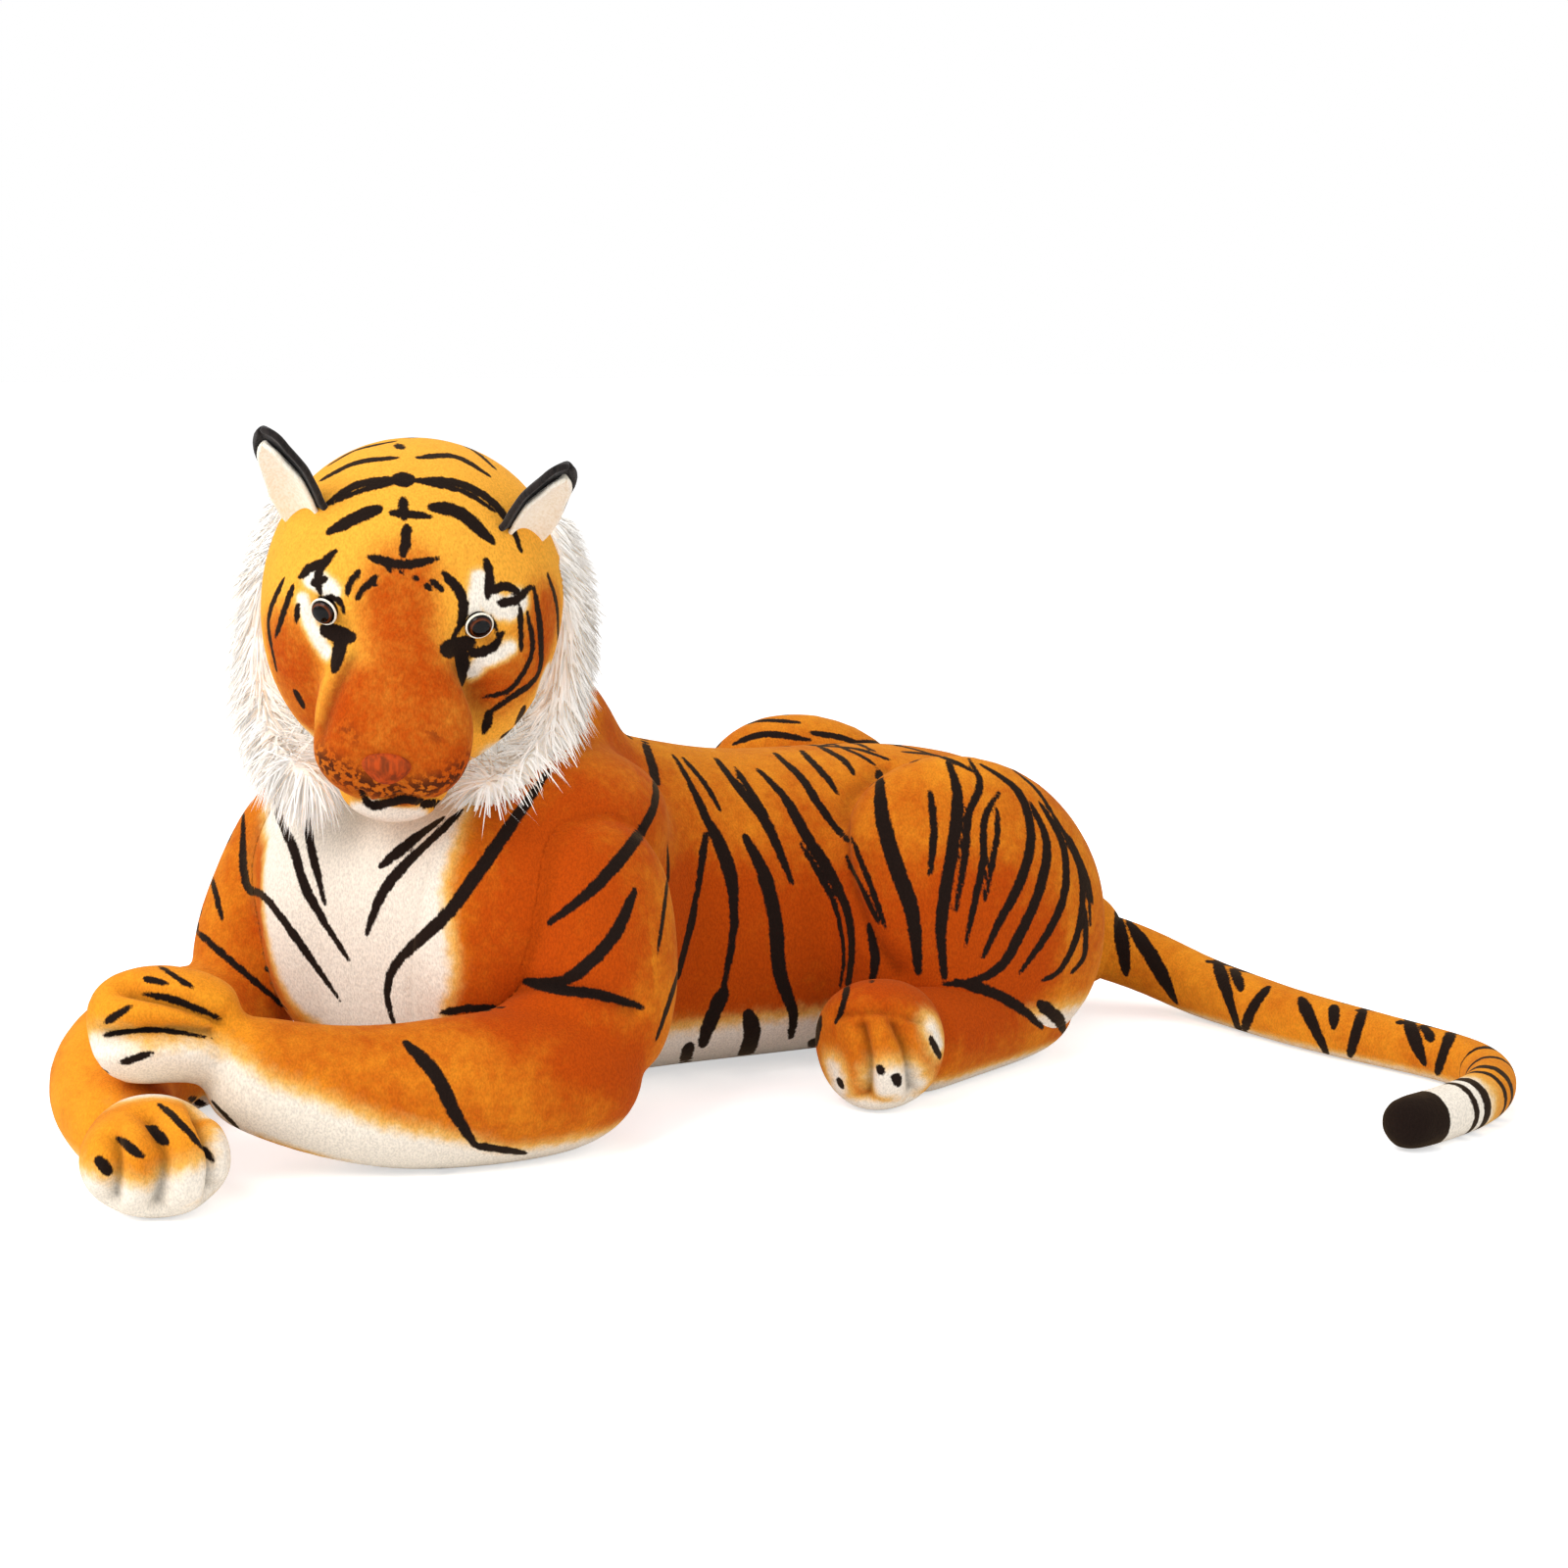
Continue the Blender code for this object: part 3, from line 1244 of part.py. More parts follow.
def beyond_mesh(name, start, heading):
    """Block that holds what lies beyond a point, in the direction of a heading."""
    reach = Vector((TAIL_SPREAD, TAIL_SPREAD, OVERRUN))
    block = box_mesh(name, (0.0, -reach.y, -reach.z), (reach.x, reach.y, reach.z))
    turn = math.atan2(heading.y, heading.x)
    block.transform(Matrix.Translation(start) @ Matrix.Rotation(turn, 4, "Z"))
    return block


def build_carriers(shop):
    """Empties on the joint axes."""
    front = front_frame()
    points = tail_points()
    nod_place = front @ Vector((0.0, NOD_AXIS_BACK, NECK_TOP_HEIGHT))
    left_shoulder = Vector((SHOULDER_PLANE, -SHOULDER_AXIS_FORWARD, SHOULDER_AXIS_HEIGHT))
    pan_back = SHOULDER_PAN_RADIUS - SHOULDER_AXIS_FORWARD
    right_shoulder = Vector((-SHOULDER_PLANE, pan_back, SHOULDER_AXIS_HEIGHT))
    knee = SHANK_SHARES[0][0] * SHANK_SPREAD
    places = {
        "torso": Vector(),
        "neck": front @ Vector((0.0, 0.0, NECK_FOOT_HEIGHT)),
        "head": nod_place,
        "ear_left": ear_frame(1.0).translation,
        "ear_right": ear_frame(-1.0).translation,
        "foreleg_left": front @ left_shoulder,
        "foreleg_right": front @ right_shoulder,
        "hind_leg_left": Vector((knee, SHANK_REACH, 0.0)),
        "hind_leg_right": Vector((-knee, SHANK_REACH, 0.0)),
        "tail_root": points[0],
        "tail": points[0],
        "tail_curl": points[TAIL_BEND_STEPS],
    }
    return {name: shop.carrier(name + "_carrier", place) for name, place in places.items()}


def main():
    """Build every piece."""
    empty_scene()
    shop = Workshop()
    carriers = build_carriers(shop)
    reach = RUMP_REACH + TAIL_SPREAD + OVERRUN
    floor_mesh = box_mesh("floor_side", (-reach, -reach, -OVERRUN), (reach, reach, 0.0))
    floor = shop.cutter("floor_side", floor_mesh)
    torso_cage = build_torso(shop, floor, carriers)
    torso_room = shop.grown("torso_room", torso_cage, SOFT_GAP)
    haunch_cages = build_haunches(shop, floor, torso_room, carriers)
    build_hind_legs(shop, floor, haunch_cages, torso_room, carriers)
    build_forelegs(shop, floor, torso_cage, carriers)
    build_neck(shop, carriers)
    build_head(shop, torso_cage, carriers)
    build_tail(shop, floor, carriers)


main()
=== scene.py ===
"""Dressed scene of a plush tiger that lies with crossed forepaws.

Every form is lofted again, whole, from the named sizes of the solid model, fused into soft
skins, creased where the plush is sewn, and marked with stripes that are carried from the
camera's picture plane onto the skins. Metres, +Z up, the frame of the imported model.
"""

import logging
import math
from dataclasses import dataclass
from enum import Enum

import bmesh
import bpy
import numpy as np
from mathutils import Matrix, Vector
from mathutils.bvhtree import BVHTree


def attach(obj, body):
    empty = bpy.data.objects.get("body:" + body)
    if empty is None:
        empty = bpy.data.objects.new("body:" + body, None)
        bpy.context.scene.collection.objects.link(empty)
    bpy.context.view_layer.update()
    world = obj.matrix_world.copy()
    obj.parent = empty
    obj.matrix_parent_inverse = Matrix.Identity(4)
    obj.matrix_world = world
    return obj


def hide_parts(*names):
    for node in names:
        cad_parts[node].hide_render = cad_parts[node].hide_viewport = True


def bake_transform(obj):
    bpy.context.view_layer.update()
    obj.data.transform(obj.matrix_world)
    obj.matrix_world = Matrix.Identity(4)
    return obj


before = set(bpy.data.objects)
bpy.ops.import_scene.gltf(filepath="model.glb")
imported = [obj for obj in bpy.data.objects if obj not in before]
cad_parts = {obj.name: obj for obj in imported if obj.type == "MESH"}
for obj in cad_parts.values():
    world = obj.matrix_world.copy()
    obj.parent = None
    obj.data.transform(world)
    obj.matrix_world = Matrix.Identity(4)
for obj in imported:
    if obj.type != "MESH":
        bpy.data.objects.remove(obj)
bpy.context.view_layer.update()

MM = 0.001
DEG = math.pi / 180
LOG = logging.getLogger("tiger")
UP = Vector((0.0, 0.0, 1.0))
ACROSS = Vector((1.0, 0.0, 0.0))
AHEAD = Vector((0.0, -1.0, 0.0))
WHITE = (1.0, 1.0, 1.0, 1.0)


class Side(Enum):
    """The toy's own left and right."""

    LEFT = "left"
    RIGHT = "right"

    @property
    def sign(self) -> float:
        """+1 on the left, -1 on the right."""
        return 1.0 if self is Side.LEFT else -1.0


# Camera and marks


def read_marks(text: str) -> dict:
    """Marks by the name of their group.

    Args:
        text: lines with a group's name, and below each the lines of its marks, which hold
            sizes in millimetres and then x,y points.

    Returns:
        For each name the marks, each as its sizes and a tuple of its points.
    """
    groups: dict = {}
    for line in text.strip().splitlines():
        words = line.split()
        if words[0][0].isalpha():
            rows = groups.setdefault(words[0], [])
            continue
        points = tuple(tuple(map(float, word.split(","))) for word in words if "," in word)
        rows.append((*(float(word) for word in words if "," not in word), points))
    return groups


# The yellow body fields are partly painted highlight, and the creases also carry painted shade.
# Half width in millimetres, for a crease also its depth, and the points that the mark runs
# through in the photograph
MARKS = read_marks(
    """
head_stripes
3.4 335,475 364,459 404,450
3.4 413,447 448,447 482,459 505,478
3.2 405,453 410,458
3.4 327,490 364,472 406,467
3.4 426,467 465,466 500,486
6.4 408,488 415,490
3.8 408,489 364,495 331,516
2.4 400,494 370,500 338,514
3.8 420,490 466,493 500,510 522,538 532,562
2.4 430,492 474,502 505,522
4.6 388,519 366,527 335,543
4.8 439,517 470,524 503,553
3.0 411,508 412,530
2.7 398,523 420,525 440,527
3.2 415,536 414,552 411,568
2.9 376,568 411,576 447,570
2.4 367,583 358,594 354,608
2.2 384,588 369,603 364,612
3.2 452,584 470,606 472,630 462,652
2.1 440,592 452,603
1.5 395,577 400,584
1.6 378,592 384,598
1.6 434,596 440,602
1.5 408,581 411,586
1.5 422,588 428,592
3.0 343,562 331,574 324,590 327,606
3.2 331,574 316,580 305,590
2.7 318,596 333,590
3.2 496,571 500,592 497,610
3.0 500,604 516,598 530,604
2.9 508,616 526,612 542,598
5.0 330,641 345,647 362,651
5.0 350,650 346,664 341,684
5.6 452,664 468,660 482,655
5.2 468,664 471,676 471,697
3.0 476,667 493,665 506,657 513,645
3.2 559,586 569,625 566,682 545,735
3.2 545,600 552,650 548,690 518,714 497,728
2.4 538,625 543,665 522,702 492,712
2.4 531,620 532,664
4.8 534,722 527,740 512,752
2.9 500,726 494,748
2.7 290,590 274,632 282,684
2.7 299,597 281,650
2.9 301,705 310,722
2.0 304,616 302,636
3.0 368,806 378,821 395,820 414,816 436,820 458,817 470,804
2.2 323,626 327,614 337,610 347,614 351,626
2.2 477,646 481,634 491,630 502,634 507,646
head_pale
6.0 318,590 330,596 338,604
4.2 309,612 318,640 333,666
7.0 491,596 500,614 518,621 530,613
5.0 489,590 486,608 484,624
4.4 482,685 492,675 506,669 520,661
9.0 556,690 546,716 530,742 512,762 494,780
5.0 262,650 268,690 284,728 306,758
13.0 372,834 415,838 462,832
head_deep
20.0 405,600 408,640 410,690
34.0 375,735 408,730 450,738
30.0 345,780 400,792 455,784
22.0 292,660 300,695 315,720
17.0 505,700 540,680 560,630
speckled
13.0 328,778 370,800 410,808 450,800 480,780
5.0 352,742 360,752
4.0 440,746 446,752
chest_stripes
3.4 292,789 283,824 300,868 315,913 356,980
3.0 310,797 315,852 332,923
3.2 248,827 251,900 277,923 347,1021
2.6 214,888 227,939
4.0 452,835 423,856 388,884
4.0 471,827 398,900 374,953
body_stripes
4.2 560,786 481,900 455,934 407,980 395,1012 402,1045
4.0 640,735 659,760 667,824 615,897 560,942
4.0 648,908 624,958 579,999 535,1001
3.4 534,1002 570,1010 611,1015 656,1028
2.6 449,1034 481,1029 514,1028
3.3 687,770 703,797 720,833 739,880 749,927 745,973 735,1023
2.4 697,773 720,801 735,827
3.8 730,773 753,803 780,837 793,863 808,901
2.8 750,783 772,817 790,847
4.2 773,785 800,813 824,855 848,893 864,930 869,973 861,1023 853,1043
3.5 790,768 817,793 835,820 853,845 868,860
3.1 817,765 843,793 855,810
3.1 833,760 860,775 872,791
2.6 853,760 880,772 893,781
5.2 760,853 780,893 791,940 796,993 809,1033 807,1059
2.4 816,860 835,890 853,927 861,973 857,1007
2.8 863,873 880,908 897,943
2.4 868,853 888,903 904,947
4.0 711,908 704,947 688,1007 670,1060
2.8 720,850 715,887 709,927
3.1 727,839 748,893 748,947
2.4 681,860 681,900 671,973
5.7 739,1010 723,1047 717,1068
4.7 703,1065 697,1095
6.1 763,1033 767,1059 752,1093
5.4 837,1039 829,1075
3.3 887,943 893,979 889,1003
5.2 897,787 900,833 913,880 931,933 937,993
4.4 968,777 977,810 973,860 964,913 960,953 964,999
2.8 988,773 1000,800 988,833 984,880 975,930
2.8 1020,808 1005,835 1003,880 993,927 985,967
4.0 1001,780 1039,808 1052,853 1041,900 1020,940 1003,977
4.2 1052,820 1068,860 1061,907 1041,953 1020,987 987,1003 963,1004
3.8 1061,819 1084,860 1087,907 1072,947 1041,993
3.8 1081,841 1103,890 1101,947 1083,988 1064,1000
3.1 1091,853 1109,895 1115,923
3.3 1107,927 1107,973 1093,993
2.6 1027,780 1055,803 1073,827
2.6 949,807 953,847 949,893
2.4 1017,825 1017,856 1005,919
2.4 1064,816 1089,856 1108,903 1113,944
3.8 973,1001 1013,1013 1040,1028 1064,1049
4.5 1060,1023 1080,1040 1087,1055
3.1 755,741 780,735 816,737
3.3 749,759 780,749 827,755
3.1 827,748 860,753 893,767
3.1 833,761 873,764 907,775
3.1 873,757 913,760 953,770
2.8 920,767 960,772 993,787
4.2 413,1063 444,1096 464,1136 485,1169
3.4 485,1169 536,1177
2.2 146,1014 183,1022 226,1040
2.2 105,1057 154,1051 216,1059
2.4 107,1044 134,1026
2.4 122,1085 156,1075
2.2 162,985 197,1008
2.2 147,998 171,1004
2.6 162,1126 191,1153 218,1185
2.6 120,1161 146,1181
3.4 99,1183 113,1198
3.4 150,1149 171,1167
2.6 193,1120 216,1132
2.6 216,1124 248,1157
2.4 193,944 236,981 293,1030
3.4 856,1102 859,1109
3.4 913,1098 918,1107
3.0 949,1059 960,1079
3.0 897,1089 899,1095
bib
24.0 300,805 294,900 316,985 352,1030
24.0 445,812 418,900 422,985 404,1038
34.0 370,820 360,900 372,1010
leg_pale
15.0 236,1128 300,1150 390,1178 500,1190
13.0 106,1086 145,1096 200,1096 250,1126
8.0 90,1216 150,1230 232,1200
8.0 234,1180 240,1150
7.0 902,1106 926,1106
3.0 852,1094 856,1114
1.5 952,1050 958,1064
body_deep
60.0 560,830 540,920 560,980
30.0 600,1070 630,1080
30.0 620,720 640,800
60.0 700,960 860,980 1000,980
body_light
20.0 250,820 228,900 205,960
26.0 130,1020 200,1020
30.0 266,800 240,870 216,950
22.0 88,1060 62,1110 84,1160
12.0 110,1160 170,1142 225,1158
18.0 460,860 446,950
leg_creases
7.0 10.0 128,1004 183,1018 236,1040
7.0 13.0 96,1058 154,1052 226,1056
6.5 9.0 150,1132 166,1176 158,1236
6.5 9.0 202,1128 222,1180 218,1226
6.0 8.0 112,1158 116,1196 112,1228
6.0 8.0 876,1046 882,1078 884,1122
6.0 8.0 916,1042 930,1078 934,1118
4.0 4.0 850,1036 900,1030 945,1042
7.0 5.0 462,1030 529,1006 578,1008 650,1030
body_creases
8.0 4.0 905,782 868,815 862,880 885,950 915,992
3.0 1.2 436,880 422,940 418,1010 420,1045
head_creases
4.0 5.0 368,812 378,822 395,819 414,817 436,818 460,818 470,808
4.0 3.0 404,806 408,817
9.0 4.0 326,622 350,640
9.0 4.0 480,645 504,655
12.0 6.0 352,668 334,706 322,742
12.0 6.0 474,680 488,712 496,744
tail_stripes
5.7 1128,917 1115,968
5.2 1133,917 1144,956 1149,994
5.5 1152,940 1176,978 1200,1023
4.7 1241,978 1265,1055
4.7 1294,1007 1278,1029 1268,1055
3.9 1259,988 1267,1010
4.7 1327,1018 1341,1048 1354,1077
4.2 1361,1026 1361,1048
4.2 1391,1029 1377,1078
4.7 1436,1037 1444,1062 1454,1086
3.4 1452,1046 1462,1062
4.4 1482,1050 1474,1072 1466,1096
tail_rings
4.1 1519,1069
2.7 1526,1079
4.3 1534,1096
3.0 1532,1107
4.3 1516,1120
3.0 1506,1129
"""
)
# Where the tail turns pale and where its black tip starts, in the photograph
TAIL_PALE, TAIL_TIP = ((1524, 1092), (1504, 1132)), (1480, 1142)


@dataclass(frozen=True)
class Viewpoint:
    """Where the photograph was taken from, and how its pixels map to rays."""

    azimuth: float = 64.0 * DEG
    elevation: float = 9.0 * DEG
    distance: float = 1.9
    target: tuple = (0.028, 0.102, 0.186)
    focal_pixels: float = 2870.0
    frame_pixels: float = 1600.0
    sensor_mm: float = 36.0

    def axes(self) -> tuple:
        """Directions to the camera, to the right and up in the picture.

        Returns:
            Three unit vectors.
        """
        sa, ca = math.sin(self.azimuth), math.cos(self.azimuth)
        se, ce = math.sin(self.elevation), math.cos(self.elevation)
        return Vector((sa * ce, -ca * ce, se)), Vector((ca, sa, 0.0)), Vector((-se * sa, se * ca, ce))

    def place(self) -> Vector:
        """Position of the camera."""
        return Vector(self.target) + self.axes()[0] * self.distance

    def ray(self, across: float, down: float) -> Vector:
        """Direction of the ray through a point of the photograph.

        Args:
            across: pixels from the left edge.
            down: pixels from the top edge.

        Returns:
            Unit vector from the camera.
        """
        back, right, up = self.axes()
        middle = self.frame_pixels / 2.0
        aside, above = (across - middle) / self.focal_pixels, (middle - down) / self.focal_pixels
        return (right * aside + up * above - back).normalized()

    def build(self) -> None:
        """Make the scene's camera."""
        back, right, up = self.axes()
        data = bpy.data.cameras.new("camera")
        data.sensor_width = self.sensor_mm
        data.sensor_fit = "HORIZONTAL"
        data.lens = self.focal_pixels * self.sensor_mm / self.frame_pixels
        data.clip_end = 40.0
        camera = link("camera", data)
        turn = Matrix((right, up, back)).transposed().to_4x4()
        camera.matrix_world = Matrix.Translation(self.place()) @ turn
        bpy.context.scene.camera = camera


VIEW = Viewpoint()


@dataclass(frozen=True)
class Spine:
    """The curved middle line of the trunk, and the frames that stand on it."""

    bend: float = 29.0 * DEG
    bend_length: float = 120.0 * MM
    head_shift: tuple = (14.0 * MM, -74.0 * MM, 330.0 * MM)
    head_turn: float = 35.0 * DEG
    head_tip: float = 25.0 * DEG
    head_lean: float = 6.0 * DEG

    def at(self, along: float) -> tuple:
        """Plan position and turn at a distance along the spine, negative to the front.

        Args:
            along: distance in metres.

        Returns:
            Place on the floor plan and turn in radians.
        """
        if along >= 0.0:
            return Vector((0.0, along, 0.0)), 0.0
        radius = self.bend_length / self.bend
        turned = min(-along / radius, self.bend)
        straight = max(0.0, -along - self.bend_length)
        forward = Vector((math.sin(turned), -math.cos(turned), 0.0))
        arc_end = Vector((1.0 - math.cos(turned), -math.sin(turned), 0.0)) * radius
        return arc_end + forward * straight, turned

    def front(self) -> Matrix:
        """Frame of the chest."""
        place, turned = self.at(-self.bend_length)
        return Matrix.Translation(place) @ Matrix.Rotation(turned, 4, "Z")

    def head(self) -> Matrix:
        """Frame of the head, whose face looks along -Y.

        Returns:
            Its place and turn.
        """
        turns = ((self.head_turn, "Z"), (self.head_tip, "X"), (self.head_lean, "Y"))
        placed = self.front() @ Matrix.Translation(self.head_shift)
        for angle, axis in turns:
            placed = placed @ Matrix.Rotation(angle, 4, axis)
        return placed

    def mirror(self, points: np.ndarray) -> np.ndarray:
        """Points carried to the other side of the curved spine.

        Args:
            points: places as rows.

        Returns:
            As many rows on the other side.
        """
        radius = self.bend_length / self.bend
        mirrored = points.copy()
        for row, (x, y, z) in enumerate(points):
            angle = math.atan2(-y, radius - x)
            if y >= 0.0:
                mirrored[row] = (-x, y, z)
            elif angle <= self.bend:
                reach = 2.0 * radius - math.hypot(x - radius, y)
                mirrored[row] = (radius - reach * math.cos(angle), -reach * math.sin(angle), z)
            else:
                local = self.front().inverted() @ Vector((x, y, z))
                mirrored[row] = self.front() @ Vector((-local.x, local.y, local.z))
        return mirrored


SPINE = Spine()


def into(place: Matrix, points: np.ndarray) -> np.ndarray:
    """Points of the world in a frame's own axes."""
    return (points - np.array(place.translation)) @ np.array(place.to_3x3())


def out_of(place: Matrix, rows: np.ndarray) -> np.ndarray:
    """Points of a frame in the world."""
    return rows @ np.array(place.to_3x3()).T + np.array(place.translation)


# Mesh tools


def link(name: str, data: bpy.types.ID) -> bpy.types.Object:
    """Put a mesh, lamp or camera into the scene.

    Args:
        name: name of the object.
        data: what it shows.

    Returns:
        The new object.
    """
    obj = bpy.data.objects.new(name, data)
    bpy.context.scene.collection.objects.link(obj)
    return obj


def made(name: str, points: object, faces: list) -> bpy.types.Object:
    """New object from points and faces.

    Args:
        name: name of the object.
        points: places in metres.
        faces: corners of each face.

    Returns:
        The new object.
    """
    mesh = bpy.data.meshes.new(name)
    mesh.from_pydata(np.asarray(points, float).tolist(), [], faces)
    mesh.update()
    return link(name, mesh)


def bake(obj: bpy.types.Object) -> bpy.types.Object:
    """Apply all modifiers.

    Args:
        obj: object with modifiers.

    Returns:
        The same object, with their result as its mesh.
    """
    bpy.context.view_layer.update()
    graph = bpy.context.evaluated_depsgraph_get()
    mesh = bpy.data.meshes.new_from_object(obj.evaluated_get(graph))
    old = obj.data
    obj.modifiers.clear()
    obj.data = mesh
    bpy.data.meshes.remove(old)
    return obj


def modify(obj: bpy.types.Object, kind: str, **settings: object) -> bpy.types.Object:
    """Add a modifier with its settings.

    Args:
        obj: object that gets it.
        kind: type of the modifier.
        **settings: its properties.

    Returns:
        The same object.
    """
    modifier = obj.modifiers.new(kind.lower(), kind)
    for key, value in settings.items():
        setattr(modifier, key, value)
    return obj


def rounded(obj: bpy.types.Object, levels: int = 1) -> bpy.types.Object:
    """Subdivide a form and apply all its modifiers."""
    return bake(modify(obj, "SUBSURF", levels=levels, render_levels=levels))


def rows_of(items: bpy.types.bpy_prop_collection, key: str) -> np.ndarray:
    """Three numbers of each item as rows.

    Args:
        items: vertices, polygons or the like.
        key: which of their vectors.

    Returns:
        One row for each item.
    """
    flat = np.empty(len(items) * 3, np.float32)
    items.foreach_get(key, flat)
    return flat.reshape(-1, 3).astype(float)


def get_points(obj: bpy.types.Object) -> np.ndarray:
    """Vertex positions as rows."""
    return rows_of(obj.data.vertices, "co")


def get_normals(obj: bpy.types.Object) -> np.ndarray:
    """Vertex normals as rows."""
    return rows_of(obj.data.vertex_normals, "vector")


def set_points(obj: bpy.types.Object, points: np.ndarray) -> None:
    """Write vertex positions back."""
    obj.data.vertices.foreach_set("co", np.asarray(points, np.float32).ravel())
    obj.data.update()


def add_float(obj: bpy.types.Object, name: str, values: np.ndarray) -> None:
    """Store one number per vertex for the materials."""
    attribute = obj.data.attributes.get(name) or obj.data.attributes.new(name, "FLOAT", "POINT")
    attribute.data.foreach_set("value", np.asarray(values, np.float32))


def smoothstep(values: np.ndarray, low: float, high: float) -> np.ndarray:
    """Soft step from 0 at low to 1 at high."""
    share = np.clip((values - low) / (high - low), 0.0, 1.0)
    return share * share * (3.0 - 2.0 * share)


@dataclass(frozen=True)
class Ring:
    """One oval cross section of a soft form."""

    centre: Vector
    side: Vector
    up: Vector
    half_width: float
    half_height: float

    def corners(self, count: int, corner: float, belly: float) -> list:
        """Corners, set out so that subdivision leaves the ring's size.

        Args:
            count: how many corners.
            corner: exponent of the upper half, 1 is an oval.
            belly: exponent of the lower half.

        Returns:
            The corners in order round the ring.
        """
        kept = (6.0 + 2.0 * math.cos(math.tau / count)) / 8.0
        corners = []
        for step in range(count):
            angle = math.tau * (step + 0.5) / count
            sa, ca = math.sin(angle), math.cos(angle)
            across = math.copysign(abs(ca) ** corner, ca)
            along = math.copysign(abs(sa) ** (corner if sa > 0.0 else belly), sa)
            width = self.half_width * across / kept
            height = self.half_height * along / kept
            corners.append(self.centre + self.side * width + self.up * height)
        return corners


def upright(
    place: Vector, side: Vector, half_width: float, top: float, bottom: float, height: float = 1.0
) -> Ring:
    """Upright ring over a place, between two heights, which may be shares of one height."""
    centre = place + UP * ((top + bottom) / 2.0 * height)
    return Ring(centre, side, UP, half_width, (top - bottom) / 2.0 * height)


def bands(rings: int, count: int, start: int = 0, closed: bool = False) -> list:
    """Quads between neighbouring rings of points.

    Args:
        rings: how many rings.
        count: points of each ring.
        start: number of the first point.
        closed: join the last ring to the first one too.

    Returns:
        The faces as tuples of point numbers.
    """
    quads = []
    for ring in range(rings if closed else rings - 1):
        low, high = start + ring * count, start + (ring + 1) % rings * count
        for step in range(count):
            following = (step + 1) % count
            quads.append((low + step, low + following, high + following, high + step))
    return quads


def loft(
    name: str, rings: list, sides: int, corner: float = 1.0, belly: float = 1.0
) -> bpy.types.Object:
    """Closed rounded form through rings.

    Args:
        name: name of the object.
        rings: cross sections from one end to the other.
        sides: corners of each ring.
        corner: exponent of the upper half, 1 is an oval.
        belly: exponent of the lower half.

    Returns:
        The form, subdivided twice.
    """
    points = [place for ring in rings for place in ring.corners(sides, corner, belly)]
    faces = bands(len(rings), sides)
    faces += [tuple(reversed(range(sides))), tuple(range(len(points) - sides, len(points)))]
    obj = made(name, points, faces)
    build = bmesh.new()
    build.from_mesh(obj.data)
    bmesh.ops.recalc_face_normals(build, faces=build.faces)
    build.to_mesh(obj.data)
    build.free()
    return rounded(obj, 2)


def path_rings(points: list, halves: list, up_hint: Vector) -> list:
    """Rings square to a path of points.

    Args:
        points: middle of each ring.
        halves: sizes of each ring.
        up_hint: roughly upwards.

    Returns:
        One ring for each point.
    """
    rings = []
    for index, point in enumerate(points):
        tangent = (points[min(index + 1, len(points) - 1)] - points[max(index - 1, 0)]).normalized()
        side = tangent.cross(up_hint).normalized()
        rings.append(Ring(point, side, side.cross(tangent), *halves[index]))
    return rings


def limb(
    rows: tuple, scale: tuple, thickness: float, up_hint: Vector, place: Matrix = Matrix()
) -> bpy.types.Object:
    """Round stretch of a leg.

    Args:
        rows: place and two half sizes in shares, per ring.
        scale: what the shares of the place are of.
        thickness: what the shares of the half sizes are of.
        up_hint: rough direction of the rings' height.
        place: frame that the leg lies in.

    Returns:
        The stretch in the world.
    """
    points = [place @ Vector(share * size for share, size in zip(row, scale)) for row in rows]
    halves = [(row[3] * thickness, row[4] * thickness) for row in rows]
    return loft("limb", path_rings(points, halves, up_hint), 8)


def egg(name: str, centre: Vector, halves: tuple, turn: Matrix = Matrix()) -> bpy.types.Object:
    """Rounded lump with three half sizes.

    Args:
        name: name of the object.
        centre: its middle.
        halves: half size along each of its axes.
        turn: turn of these axes.

    Returns:
        The new object.
    """
    build = bmesh.new()
    bmesh.ops.create_icosphere(build, subdivisions=3, radius=1.0)
    for vertex in build.verts:
        scaled = Vector(vertex.co[axis] * halves[axis] for axis in range(3))
        vertex.co = Vector(centre) + turn.to_3x3() @ scaled
    mesh = bpy.data.meshes.new(name)
    build.to_mesh(mesh)
    build.free()
    return link(name, mesh)


def move(obj: bpy.types.Object, matrix: Matrix) -> bpy.types.Object:
    """Carry a form's mesh into another frame."""
    obj.data.transform(matrix)
    return obj


def on_floor(obj: bpy.types.Object) -> bpy.types.Object:
    """Move a form down or up until it just touches the floor.

    Args:
        obj: the form.

    Returns:
        The same object.
    """
    points = get_points(obj)
    points[:, 2] -= points[:, 2].min() + 0.5 * MM
    set_points(obj, points)
    return obj


def rest_on_floor(obj: bpy.types.Object) -> bpy.types.Object:
    """Flatten what dips under the floor.

    Args:
        obj: the skin.

    Returns:
        The same object.
    """
    points = get_points(obj)
    points[:, 2] = np.maximum(points[:, 2], 0.2 * MM)
    set_points(obj, points)
    return obj


def joined(*objects: bpy.types.Object) -> tuple:
    """Points and faces of several objects in one list each.

    Args:
        *objects: mesh objects.

    Returns:
        Points as rows, and faces that count through them all.
    """
    points, faces, count = [], [], 0
    for obj in objects:
        points.append(get_points(obj))
        faces.extend(tuple(v + count for v in p.vertices) for p in obj.data.polygons)
        count += len(points[-1])
    return np.vstack(points), faces


def tree_of(*objects: bpy.types.Object) -> BVHTree:
    """Search tree over the faces of several objects."""
    points, faces = joined(*objects)
    return BVHTree.FromPolygons(points.tolist(), faces)


